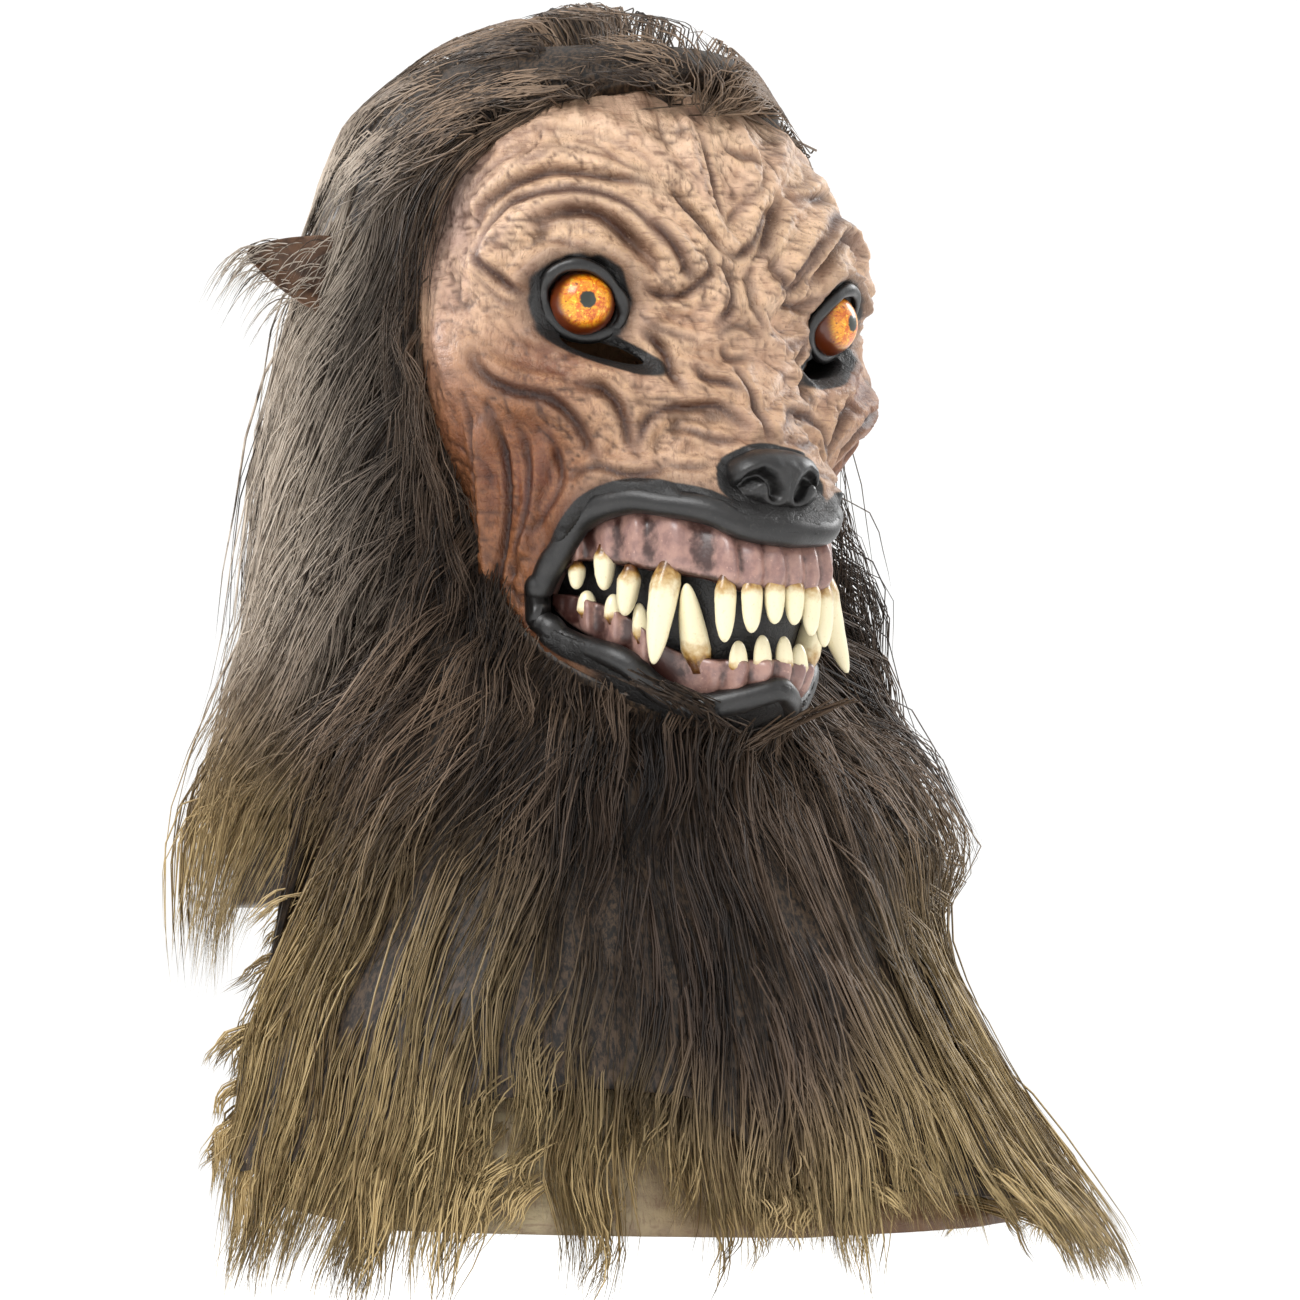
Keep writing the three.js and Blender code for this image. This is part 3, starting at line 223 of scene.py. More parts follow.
def fan_faces(rows, columns, top, bottom):
    """Triangles that close a grid's first row on the point top and its last row on the point bottom."""
    j = np.arange(columns)
    k = (j + 1) % columns
    last = (rows - 1) * columns
    return np.concatenate([
        np.stack([np.full(columns, top), j, k], axis=1),
        np.stack([np.full(columns, bottom), last + k, last + j], axis=1),
    ])


def make_piece(name, points, faces, marks=None, uv=None):
    """A mesh object from points in millimetres and face arrays; marks are numbers kept at each point."""
    mesh = bpy.data.meshes.new(name)
    mesh.vertices.add(len(points))
    mesh.vertices.foreach_set("co", (np.asarray(points) * MM).astype(np.float32).ravel())
    corners = np.concatenate([f.ravel() for f in faces])
    sizes = np.concatenate([np.full(len(f), f.shape[1]) for f in faces])
    mesh.loops.add(len(corners))
    mesh.loops.foreach_set("vertex_index", corners.astype(np.int32))
    mesh.polygons.add(len(sizes))
    mesh.polygons.foreach_set("loop_start", (np.cumsum(sizes) - sizes).astype(np.int32))
    mesh.update(calc_edges=True)
    mesh.validate()
    mesh.polygons.foreach_set("use_smooth", np.ones(len(mesh.polygons), bool))
    for mark, values in (marks or {}).items():
        mesh.attributes.new(mark, "FLOAT", "POINT").data.foreach_set("value", values.astype(np.float32).ravel())
    if uv is not None:
        layer = mesh.uv_layers.new(name="UVMap")
        layer.data.foreach_set("uv", uv[corners].astype(np.float32).ravel())
    piece = bpy.data.objects.new(name, mesh)
    bpy.context.collection.objects.link(piece)
    return piece


def closed_grid(name, rows, top, bottom, marks=None):
    """A closed piece from an array (rows, columns, 3), shut on one point at each end."""
    count, columns = rows.shape[:2]
    points = np.concatenate([rows.reshape(-1, 3), [top], [bottom]])
    faces = [grid_faces(count, columns), fan_faces(count, columns, len(points) - 2, len(points) - 1)]
    if marks:
        ends = lambda v: np.concatenate([v.ravel(), [v[0].mean(), v[-1].mean()]])
        marks = {mark: ends(np.broadcast_to(v, (count, columns))) for mark, v in marks.items()}
    return make_piece(name, points, faces, marks)


def settle(piece, slot, *nodes):
    """Every piece of this mask rides on its one body and may stand for solids; slot, the name of its finish, is not
    used.
    """
    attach(piece, "root")
    if nodes:
        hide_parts(*nodes)
    print(piece.name, "has", len(piece.data.polygons), "faces")
    return piece


# %% [markdown]
# ## The bare form
# The casting is a stack of cross-sections. Each row gives a ring's radius at eight azimuths, from the front of the
# face round to the nape, and smooth curves run through the numbers, first round a ring and then down the stack.

# %% Sections of the head, throat and bib
WALL = 3.0
FACE_DROP = 262.0  # crown to chin
BIB_DROP = 198.0  # chin to the front hem
MUZZLE_REACH = 139.0
HALF_WIDTH = 90.0
BACK_REACH = 112.0
BIB_REACH = 165.0
CROWN_CENTRE_DROP = 60.0
SECTION_AZIMUTHS = np.array([0.0, 10, 20, 40, 60, 90, 135, 180])
HEAD_REACH = np.array([MUZZLE_REACH] * 3 + [HALF_WIDTH] * 3 + [BACK_REACH] * 2)
HEAD_SECTIONS = np.array([  # share of FACE_DROP, then shares of HEAD_REACH
    [0, 0, 0, 0, 0, 0, 0, 0, 0],
    [0.01, 0.23, 0.23, 0.23, 0.36, 0.38, 0.4, 0.4, 0.43],
    [0.028, 0.38, 0.38, 0.38, 0.57, 0.59, 0.62, 0.64, 0.7],
    [0.057, 0.49, 0.485, 0.475, 0.71, 0.73, 0.77, 0.78, 0.85],
    [0.105, 0.57, 0.565, 0.56, 0.84, 0.83, 0.87, 0.86, 0.93],
    [0.166, 0.625, 0.625, 0.635, 0.98, 0.97, 0.94, 0.9, 0.97],
    [0.233, 0.66, 0.665, 0.68, 1.07, 1.05, 0.98, 0.94, 1.0],
    [0.301, 0.69, 0.7, 0.725, 1.16, 1.11, 1.0, 0.95, 1.01],
    [0.355, 0.705, 0.705, 0.715, 1.2, 1.16, 1.01, 0.95, 1.01],
    [0.401, 0.72, 0.7, 0.69, 1.15, 1.17, 1.01, 0.94, 1.0],
    [0.455, 0.74, 0.705, 0.685, 1.12, 1.18, 1.0, 0.92, 0.98],
    [0.508, 0.78, 0.74, 0.72, 1.19, 1.17, 0.98, 0.89, 0.96],
    [0.562, 0.815, 0.775, 0.73, 1.12, 1.1, 0.96, 0.87, 0.93],
    [0.615, 0.865, 0.83, 0.76, 1.04, 1.01, 0.92, 0.84, 0.89],
    [0.668, 0.9, 0.87, 0.8, 1.0, 0.94, 0.89, 0.81, 0.86],
    [0.722, 0.95, 0.93, 0.845, 0.98, 0.88, 0.87, 0.79, 0.82],
    [0.791, 0.995, 0.965, 0.85, 0.96, 0.85, 0.84, 0.76, 0.79],
    [0.86, 0.975, 0.94, 0.82, 0.93, 0.82, 0.81, 0.74, 0.78],
    [0.916, 0.945, 0.905, 0.775, 0.89, 0.79, 0.79, 0.72, 0.76],
    [0.965, 0.915, 0.86, 0.71, 0.85, 0.77, 0.77, 0.71, 0.75],
    [1, 0.81, 0.755, 0.64, 0.82, 0.76, 0.76, 0.7, 0.75],
    [1.046, 0.63, 0.6, 0.57, 0.79, 0.76, 0.76, 0.7, 0.76],
])
BIB_SECTIONS = np.array([  # share of BIB_DROP below the chin, then shares of BIB_REACH
    [0.14, 0.5, 0.49, 0.48, 0.455, 0.44, 0.45, 0.5, 0.54],
    [0.24, 0.53, 0.53, 0.53, 0.53, 0.54, 0.57, 0.58, 0.59],
    [0.36, 0.61, 0.62, 0.63, 0.65, 0.68, 0.7, 0.66, 0.65],
    [0.56, 0.72, 0.735, 0.76, 0.8, 0.84, 0.84, 0.74, 0.71],
    [0.8, 0.8, 0.82, 0.86, 0.92, 0.96, 0.96, 0.8, 0.76],
    [1.0, 0.84, 0.87, 0.91, 0.98, 1.03, 1.0, 0.83, 0.79],
    [1.17, 0.87, 0.9, 0.94, 1.01, 1.06, 1.03, 0.86, 0.81],
])
BIB_HEM = np.array([[0, 1.0], [60, 0.98], [84, 0.93], [97, 0.27], [115, 0.22], [180, 0.22]])
MOUTH = np.array([  # azimuth, then levels of upper lip, upper roots, lower roots and lower lip
    [0, 0.755, 0.812, 0.926, 0.945],
    [8, 0.747, 0.814, 0.928, 0.968],
    [13, 0.725, 0.797, 0.924, 0.97],
    [20, 0.71, 0.785, 0.9, 0.945],
    [27, 0.703, 0.772, 0.858, 0.905],
    [37, 0.726, 0.76, 0.83, 0.877],
    [44, 0.775, 0.775, 0.822, 0.86],
    [51, 0.83, 0.815, 0.825, 0.835],
])
CHIN_Z = WALL - FACE_DROP
ring_depths = np.concatenate([HEAD_SECTIONS[:, 0] * FACE_DROP - WALL, BIB_SECTIONS[:, 0] * BIB_DROP - CHIN_Z])
ring_radii = np.concatenate([HEAD_SECTIONS[:, 1:] * HEAD_REACH, BIB_SECTIONS[:, 1:] * BIB_REACH])
print(len(ring_depths), "rings of", len(SECTION_AZIMUTHS), "radii")


# %% Smooth curves through the sections
def level_z(level):
    """Height of a level, which is 0 on top of the crown and 1 at the chin."""
    return WALL - np.asarray(level) * FACE_DROP


def knot_slopes(knots, values):
    """At each knot, the slope of the line between its two neighbours."""
    n = len(knots)
    low, high = np.maximum(np.arange(n) - 1, 0), np.minimum(np.arange(n) + 1, n - 1)
    return (values[..., high] - values[..., low]) / (knots[high] - knots[low])


def through(knots, values, x):
    """Cubic Hermite curve through (knots, values), flat beyond both ends; values may have a row for each x."""
    knots, values, x = np.asarray(knots, float), np.asarray(values, float), np.asarray(x, float)
    slopes = knot_slopes(knots, values)
    x = np.clip(x, knots[0], knots[-1])
    i = np.clip(np.searchsorted(knots, x, side="right") - 1, 0, len(knots) - 2)
    if values.ndim == 1:
        take = lambda array, k: array[k]
    else:
        take = lambda array, k: array[np.arange(len(x)), k]
    step = knots[i + 1] - knots[i]
    t = (x - knots[i]) / step
    return (
        (2 * t**3 - 3 * t**2 + 1) * take(values, i) + (t**3 - 2 * t**2 + t) * step * take(slopes, i)
        + (3 * t**2 - 2 * t**3) * take(values, i + 1) + (t**3 - t**2) * step * take(slopes, i + 1)
    )


def stacked(azimuths, radii, depths, x, depth):
    """A curve round each ring at the azimuth x, then a curve down the stack at the depth."""
    at_rings = np.stack([through(azimuths, ring, x) for ring in radii], axis=1)
    return through(depths, at_rings, depth)


def form_radius(azimuth, z):
    """The bare form's radius; azimuth in degrees, both sides alike."""
    azimuth, z = np.broadcast_arrays(azimuth, z)
    flat = stacked(SECTION_AZIMUTHS, ring_radii, ring_depths, np.abs(azimuth).ravel(), -z.ravel())
    return flat.reshape(azimuth.shape)


def polar(radius, azimuth, z):
    """(r sin a, -r cos a, z): azimuth 0 is the front, and it grows towards the wearer's left."""
    a = np.radians(azimuth)
    return np.stack(np.broadcast_arrays(radius * np.sin(a), -radius * np.cos(a), z), axis=-1)


def unit(v):
    """Vectors over their own lengths."""
    return v / np.maximum(np.linalg.norm(v, axis=-1, keepdims=True), 1e-9)


def over_form(azimuth, z, rise):
    """A point of the form moved out by rise, away from a centre on the axis and level below the crown."""
    radius = form_radius(azimuth, z)
    centre = np.minimum(z, WALL - CROWN_CENTRE_DROP)
    return polar(radius, azimuth, z) + unit(polar(radius, azimuth, z - centre)) * np.asarray(rise)[..., None]


def smoothstep(x, low, high):
    """0 up to low, 1 from high on, and 3t^2 - 2t^3 between."""
    t = np.clip((x - low) / (high - low), 0, 1)
    return t * t * (3 - 2 * t)


def squared(v, power):
    """Sign of v times its size to a power: below 1, it squares off the sine and cosine of a round section."""
    return np.sign(v) * np.abs(v) ** power


MEAN_RADIUS = 0.8 * MUZZLE_REACH


def across(azimuth):
    """The face unrolled to millimetres from its midline."""
    return MEAN_RADIUS * np.radians(azimuth)


def mouth_z(column, azimuth):
    """Height of one of the mouth's four lines at an azimuth."""
    return level_z(through(MOUTH[:, 0], MOUTH[:, column], np.abs(azimuth)))


UPPER_LIP, UPPER_ROOT, LOWER_ROOT, LOWER_LIP = 1, 2, 3, 4
print("radius at the nose", form_radius(0.0, -165.0).round(1), "mm")


# %% [markdown]
# ## Where a pixel of the photograph meets the form
# The wrinkles were read off the photograph as bent lines of pixels. A ray from the camera through each pixel is
# followed until it comes under the form, and the line is then known on the face itself, so it stays put from any side.


# %% From pixels to the form
def on_form(pixels):
    """Azimuth and height where the ray through each pixel first has a smaller radius than the form."""
    pixels = np.asarray(pixels, float)
    slope = (pixels - PHOTO_TARGET) / (PIXELS_PER_MM * VIEW_DISTANCE)
    ray = slope[:, :1] * CAMERA_RIGHT - slope[:, 1:] * CAMERA_UP - CAMERA_BACK
    t = np.linspace(VIEW_DISTANCE - 180, VIEW_DISTANCE + 60, 600)
    start = VIEW_TARGET + VIEW_DISTANCE * CAMERA_BACK
    p = start + ray[:, None] * t[None, :, None]
    azimuth = np.degrees(np.arctan2(p[..., 0], -p[..., 1]))
    inside = np.hypot(p[..., 0], p[..., 1]) < form_radius(azimuth, p[..., 2])
    first = np.where(inside.any(axis=1), inside.argmax(axis=1), len(t) // 2)
    rows = np.arange(len(pixels))
    return azimuth[rows, first], p[rows, first, 2]


test = on_form([(579, 299), (760, 480)])
print("eye at azimuth", test[0][0].round(1), "nose at azimuth", test[0][1].round(1))

# %% [markdown]
# ## Wrinkles
# The sculptor cut the snarl into clay: deep grooves with rounded flesh between them, and finer lines that run beside
# each groove. A height over the form is enough for that. Each groove is a bell-shaped dip with a swell on both sides.

# %% Grooves read off the photograph: name, width and depth in millimetres, and pixels along the line
GROOVES = [
    ("brow_shadow", 3.4, 4.2, [(540, 222), (565, 213), (590, 213), (610, 222), (630, 240), (648, 262)]),
    ("lid_crease", 1.5, 1.6, [(538, 240), (560, 242), (580, 250), (600, 265)]),
    ("brow_ring", 2.0, 2.6, [(487, 245), (497, 222), (515, 203), (540, 196), (575, 192), (605, 198), (630, 212),
                             (660, 245)]),
    ("brow_second", 1.9, 2.2, [(480, 225), (490, 205), (510, 190), (533, 178), (560, 172), (600, 178), (640, 184),
                               (655, 188)]),
    ("brow_nick_a", 1.2, 1.2, [(525, 165), (545, 157), (553, 150)]),
    ("brow_nick_b", 1.3, 1.4, [(600, 148), (615, 160), (628, 170), (650, 173)]),
    ("brow_nick_c", 1.1, 1.0, [(575, 143), (600, 145)]),
    ("outer_eye", 2.2, 2.2, [(487, 245), (485, 262), (497, 275), (512, 287), (528, 297)]),
    ("outer_eye_low", 1.6, 1.4, [(480, 275), (492, 292), (505, 302), (530, 308)]),
    ("frown_long", 1.7, 2.2, [(703, 140), (710, 173), (713, 197), (718, 213)]),
    ("frown_short", 1.2, 1.2, [(717, 128), (723, 142)]),
    ("frown_far", 1.6, 1.8, [(725, 145), (738, 158), (747, 163), (750, 172)]),
    ("frown_far_low", 1.4, 1.5, [(757, 180), (750, 193), (740, 205), (730, 218), (722, 230)]),
    ("frown_v", 2.3, 3.2, [(672, 190), (683, 207), (698, 225), (707, 240), (717, 253)]),
    ("frown_bowl", 2.0, 2.6, [(720, 255), (730, 257), (740, 250), (748, 240), (757, 218), (767, 210)]),
    ("inner_brow", 2.4, 3.4, [(640, 220), (660, 237), (673, 253), (683, 272), (692, 283)]),
    ("inner_brow_low", 1.4, 1.5, [(645, 258), (657, 273)]),
    ("lobe_edge", 2.0, 2.8, [(640, 283), (653, 292), (673, 297), (688, 290), (703, 270), (702, 252)]),
    ("nose_root", 1.8, 2.4, [(720, 270), (722, 290), (720, 312), (710, 328)]),
    ("centre_low", 1.4, 1.8, [(743, 270), (743, 290), (747, 312), (755, 330)]),
    ("far_lobe", 1.8, 2.4, [(760, 270), (768, 290), (787, 287), (795, 273), (807, 255)]),
    ("far_lobe_low", 1.5, 1.8, [(773, 308), (790, 308), (807, 302), (820, 295)]),
    ("inner_eye", 2.2, 2.6, [(640, 330), (660, 350), (667, 373), (677, 390)]),
    ("inner_eye_top", 1.6, 1.7, [(640, 320), (657, 332), (687, 342)]),
    ("bump_under", 1.4, 1.8, [(720, 348), (728, 360), (748, 358)]),
    ("bump_over", 1.4, 1.8, [(713, 337), (723, 328), (740, 327), (755, 337)]),
    ("bridge_a", 1.8, 2.2, [(692, 368), (703, 380), (720, 383), (735, 390)]),
    ("bridge_b", 2.0, 2.6, [(640, 422), (655, 412), (673, 408), (693, 407), (713, 407), (727, 417), (740, 427)]),
    ("bridge_c", 1.6, 1.9, [(673, 428), (690, 433), (707, 440), (727, 442), (737, 438)]),
    ("bridge_far_a", 1.8, 2.2, [(735, 367), (747, 393), (757, 417), (768, 438)]),
    ("bridge_far_b", 1.4, 1.6, [(778, 408), (779, 423), (790, 418)]),
    ("cheekbone", 2.8, 3.2, [(478, 357), (485, 370), (502, 385), (523, 393), (547, 398), (563, 408), (580, 427),
                             (595, 458)]),
    ("snarl", 2.6, 3.2, [(580, 387), (597, 388), (612, 400), (622, 420), (627, 438), (635, 448)]),
    ("snarl_up", 2.0, 2.4, [(635, 448), (642, 427), (652, 415), (670, 408)]),
    ("cheek_a", 1.6, 2.0, [(468, 398), (476, 450), (480, 500), (482, 555), (478, 600)]),
    ("cheek_b", 1.8, 2.2, [(495, 410), (505, 450), (510, 500), (503, 560), (497, 600)]),
    ("cheek_c", 1.6, 1.8, [(520, 420), (530, 460), (532, 500), (522, 540), (512, 575)]),
    ("cheek_d", 1.4, 1.6, [(550, 430), (560, 460), (563, 485), (548, 515), (530, 535)]),
    ("forehead_a", 1.0, 1.0, [(470, 190), (500, 165), (540, 150), (580, 152), (620, 165), (655, 190)]),
    ("forehead_b", 0.9, 0.9, [(478, 168), (510, 145), (545, 133), (590, 135), (630, 150), (665, 178)]),
    ("under_eye_a", 0.9, 0.8, [(490, 320), (510, 340), (545, 352), (590, 362), (620, 375)]),
    ("under_eye_b", 0.9, 0.8, [(478, 335), (505, 358), (540, 370), (585, 380)]),
    ("temple_a", 0.9, 0.8, [(445, 260), (462, 275), (480, 290), (500, 320)]),
    ("lip_over", 2.0, 2.2, [(572, 478), (597, 468), (622, 475), (647, 475), (663, 467)]),
    ("lip_over_front", 1.7, 1.8, [(663, 463), (673, 468), (695, 468), (707, 465)]),
    ("lip_over_low", 1.5, 1.5, [(673, 485), (690, 498), (707, 507)]),
]
MIRRORED_FROM = -4.0  # a groove that stays this far off the midline on the near side is on both sides
pixels = np.concatenate([np.array(line, float) for *_, line in GROOVES])
groove_azimuth, groove_z = on_form(pixels)
ends = np.cumsum([len(line) for *_, line in GROOVES])
groove_lines = []
for (name, width, depth, line), end in zip(GROOVES, ends):
    a, z = groove_azimuth[end - len(line):end], groove_z[end - len(line):end]
    knots = np.arange(len(line), dtype=float)
    fine = np.linspace(0, len(line) - 1, 3 * len(line))
    bent = np.stack([across(through(knots, a, fine)), through(knots, z, fine)], axis=1)
    groove_lines.append((bent, width, depth))
    if a.max() < MIRRORED_FROM:
        groove_lines.append((bent * [-1, 1], width, depth))
print(len(GROOVES), "grooves read,", len(groove_lines), "cut")

# %% Big folds, the same as the solid's: azimuth and level at start, middle and end, then half width and height
FOLDS = np.array([
    [58, 0.33, 35, 0.245, 6, 0.38, 9, 9],  # brow
    [4, 0.4, 11, 0.445, 22, 0.425, 6, 6.3],  # brow's inner lobe
    [50, 0.3, 34, 0.28, 14, 0.4, 5, 4.5],  # upper lid
    [46, 0.45, 30, 0.5, 12, 0.53, 6, 4.5],  # bag under the lid
    [74, 0.41, 52, 0.53, 28, 0.555, 12, 7.2],  # cheekbone
    [26, 0.54, 15, 0.48, 3, 0.525, 5, 4.5],  # three snarl folds on the bridge
    [25, 0.6, 14, 0.535, 3, 0.575, 5, 5.4],
    [22, 0.65, 14, 0.59, 6, 0.62, 4.8, 4.5],
    [32, 0.56, 35, 0.635, 43, 0.71, 6, 5.4],  # three cheek folds
    [43, 0.57, 48, 0.65, 54, 0.745, 6, 5.4],
    [57, 0.56, 64, 0.65, 66, 0.78, 6, 5.4],
    [13, 0.65, 28, 0.635, 45, 0.7, 6, 4.5],  # over the lip
    [62, 0.24, 37, 0.175, 4, 0.335, 5.4, 5],  # two forehead folds
    [58, 0.15, 33, 0.115, 6, 0.245, 5.4, 4.5],
    [1, 0.31, 8, 0.22, 9, 0.12, 5.4, 5.4],  # frown
])
EYE_AZIMUTH, EYE_DROP, EYE_RADIUS, EYE_SINK = 37.0, 103.0, 12.8, 6.8
EYE_Z = WALL - EYE_DROP
SLIT_AZIMUTH, SLIT_Z, SLIT_LENGTH, SLIT_HEIGHT, SLIT_TILT = 32.5, WALL - 121.0, 34.0, 8.0, math.radians(18)
SOCKET_DEPTH, SOCKET_RADIUS = 5.0, 22.0
FACE_EDGE = 78.0
MOUTH_DEPTH, MOUTH_CORNER = 18.0, 51.0


def near_line(u, z, line):
    """Distance from each point (u, z) to a bent line, and the share of its length where it is nearest."""
    lengths = np.hypot(*(line[1:] - line[:-1]).T)
    total, start = lengths.sum(), 0.0
    best, share = np.full(u.shape, 1e9), np.zeros(u.shape)
    for a, b, length in zip(line[:-1], line[1:], lengths):
        t = np.clip(((u - a[0]) * (b[0] - a[0]) + (z - a[1]) * (b[1] - a[1])) / max(length, 1e-6) ** 2, 0, 1)
        d = np.hypot(u - a[0] - t * (b[0] - a[0]), z - a[1] - t * (b[1] - a[1]))
        share = np.where(d < best, (start + t * length) / total, share)
        best = np.minimum(best, d)
        start += length
    return best, share


def bell(distance, half_width):
    """exp(-(distance / half_width)^2): 1 in the middle, about a third at the half width."""
    return np.exp(-((distance / half_width) ** 2))


def patchy(u, v, size, seed):
    """Smooth noise from 0 to 1 over a plane: random numbers at lattice points size apart, blended between them."""
    table = np.random.default_rng(seed).random((64, 64))
    u, v = u / size, v / size
    i, j = np.floor(u).astype(int), np.floor(v).astype(int)
    s, t = smoothstep(u - i, 0, 1), smoothstep(v - j, 0, 1)
    at = lambda a, b: table[a % 64, b % 64]
    low = at(i, j) * (1 - t) + at(i, j + 1) * t
    high = at(i + 1, j) * (1 - t) + at(i + 1, j + 1) * t
    return low * (1 - s) + high * s


def big_folds(azimuth, z):
    """Largest of the folds' bells, less the eye sockets' bell."""
    a = np.abs(azimuth)
    u = across(a)
    height = np.zeros(u.shape)
    for az0, level0, az1, level1, az2, level2, width, rise in FOLDS:
        p0, p1, p2 = [np.array([across(x), level_z(y)]) for x, y in ((az0, level0), (az1, level1), (az2, level2))]
        bend = 2 * p1 - (p0 + p2) / 2
        t = np.linspace(0, 1, 13)[:, None]
        distance, _ = near_line(u, z, (1 - t) ** 2 * p0 + 2 * t * (1 - t) * bend + t**2 * p2)
        height = np.maximum(height, rise * bell(distance, width))
    eye = np.hypot(u - across(EYE_AZIMUTH), z - EYE_Z)
    return height - SOCKET_DEPTH * bell(eye, SOCKET_RADIUS)


def fine_relief(azimuth, z):
    """Grooves with a swell on both sides and ripples beside them; also how deep in a groove a point lies, 0 to 1."""
    u = across(azimuth)
    wander = 1.6 * (patchy(u, z, 7, 3) - 0.5)
    dip, swell, ripple, groove = (np.zeros(u.shape) for _ in range(4))
    for line, width, depth in groove_lines:
        box = (np.abs(u - line[:, 0].mean()) < np.ptp(line[:, 0]) / 2 + 16) & (
            np.abs(z - line[:, 1].mean()) < np.ptp(line[:, 1]) / 2 + 16)
        d, share = near_line(u[box], z[box], line)
        fade = np.sqrt(np.clip(4 * (share + 0.06) * (1.06 - share), 0, 1))
        d = np.abs(d + wander[box] * 0.5)
        dip[box] = np.maximum(dip[box], depth * fade * bell(d, width * 0.8))
        swell[box] = np.maximum(swell[box], 0.42 * depth * fade * bell(d - 2.1 * width, 1.3 * width))
        ripple[box] = np.maximum(ripple[box], fade * 0.5 * (1 + np.cos(2 * np.pi * d / 3.6)) * bell(d, 9))
        groove[box] = np.maximum(groove[box], fade * bell(d, width * 1.25) * min(1.0, depth / 2.2))
    return 1.15 * swell - 1.2 * dip + 0.7 * ripple, groove


# %% [markdown]
# ## The casting
# The whole casting is one closed skin: the outside from the crown down to the hem, then the inside back up. Folds and
# grooves move its points out along the form's normal, and the mouth is pushed in. How deep in a groove a point lies,
# and which paint or painted shade it takes, is kept as a number at each point, for the material to read.

# %% The skin's grid
FACE_COLUMNS, REAR_COLUMNS = 116, 26  # on each side
CROWN_ROWS, FACE_ROWS, BIB_ROWS, INNER_ROWS = 12, 188, 34, 38
LIP_THICKNESS, LIP_SINK = 12.0, 1.5
NOSE_Z, NOSE_HALF_WIDTH, NOSE_HALF_HEIGHT, NOSE_HALF_DEPTH, NOSE_SINK = WALL - 173.0, 20.0, 13.0, 16.0, 5.0
FINE_EDGE = 82.0  # the azimuth where the fine columns of the face end
FACE_TOP_LEVEL, THROAT_LEVEL = 0.105, 1.046

half = np.concatenate([
    FINE_EDGE * (np.arange(FACE_COLUMNS) + 0.5) / FACE_COLUMNS,
    FINE_EDGE + (180 - FINE_EDGE) * (np.arange(REAR_COLUMNS) + 0.5) / REAR_COLUMNS,
])
skin_azimuths = np.concatenate([-half[::-1], half])
face_top, throat = level_z(FACE_TOP_LEVEL), level_z(THROAT_LEVEL)
hem = CHIN_Z - BIB_DROP * np.interp(np.abs(skin_azimuths), BIB_HEM[:, 0], BIB_HEM[:, 1])
crown = WALL - FACE_TOP_LEVEL * FACE_DROP * (np.arange(1, CROWN_ROWS + 1) / (CROWN_ROWS + 1)) ** 2
face = np.linspace(face_top, throat, FACE_ROWS)
fixed = np.concatenate([crown, face])
skin_z = np.concatenate([
    np.repeat(fixed[:, None], len(skin_azimuths), axis=1),
    throat + (hem - throat) * (np.arange(1, BIB_ROWS + 1) / BIB_ROWS)[:, None],
])
skin_azimuth = np.broadcast_to(skin_azimuths, skin_z.shape)
print("outside grid", skin_z.shape)


def mouth_opening(azimuth, z):
    """How far inside the mouth's outline a point lies, in millimetres; negative outside."""
    return np.minimum(mouth_z(UPPER_LIP, azimuth.ravel()) - z.ravel(),
                      z.ravel() - mouth_z(LOWER_LIP, azimuth.ravel())).reshape(z.shape)


def from_slit(u, z):
    """Distance from the slit's middle, where 1 is its rim: an ellipse that falls towards the nose."""
    u, z = across(SLIT_AZIMUTH) - np.abs(u), z - SLIT_Z
    return np.hypot((u * math.cos(SLIT_TILT) - z * math.sin(SLIT_TILT)) / (SLIT_LENGTH / 2),
                    (u * math.sin(SLIT_TILT) + z * math.cos(SLIT_TILT)) / (SLIT_HEIGHT / 2))


# %% Relief of the outside: folds, grooves, lumps, creases, and the hollows of mouth, eyes and slits
LIP_SWELL, SOCKET_PUSH, HOOD_RISE, CREASE_DEPTH = 4.2, 9.0, 5.5, 1.5
LID_OUTLINE = 15.5, 12.5  # half its width and height on the face
on_face = (1 - smoothstep(np.abs(skin_azimuth), 66, FACE_EDGE)) * (skin_z > CHIN_Z)
folds = on_face * big_folds(skin_azimuth, skin_z)
fine, groove = fine_relief(skin_azimuth, skin_z)
fade = 1 - smoothstep(np.abs(skin_azimuth), 74, FINE_EDGE)
fine, groove = fine * fade, groove * fade
unrolled = across(skin_azimuth)
lumps = 2.0 * (patchy(unrolled, skin_z, 13, 1) - 0.5) + 0.9 * (patchy(unrolled, skin_z, 4.5, 2) - 0.5)
# Small creases between the drawn grooves: noise folded at its middle value makes thin valleys.
bent_u = unrolled + 7 * (patchy(unrolled, skin_z, 17, 4) - 0.5)
bent_z = skin_z + 9 * (patchy(unrolled + 50, skin_z, 15, 5) - 0.5)
crease = lambda seed, size, stretch, width: bell(patchy(bent_u, bent_z * stretch, size, seed) - 0.5, width)
creases = 0.75 * crease(6, 9, 1.7, 0.05) + 0.5 * crease(7, 5.5, 1.9, 0.06) + 0.3 * crease(8, 3.6, 1.6, 0.09)
creases = creases * (0.35 + 0.65 * patchy(unrolled, skin_z, 24, 9)) * fade
opening = mouth_opening(skin_azimuth, skin_z)
corner = 1 - smoothstep(np.abs(skin_azimuth), MOUTH_CORNER - 3, MOUTH_CORNER + 3)
inside_mouth = smoothstep(opening, -3.5, 0) * corner
lip_swell = LIP_SWELL * bell(opening + 8, 8) * corner
relief = folds + fine - CREASE_DEPTH * creases + lumps * (0.4 + 0.6 * fade) + lip_swell
relief = relief * (1 - inside_mouth) - MOUTH_DEPTH * inside_mouth
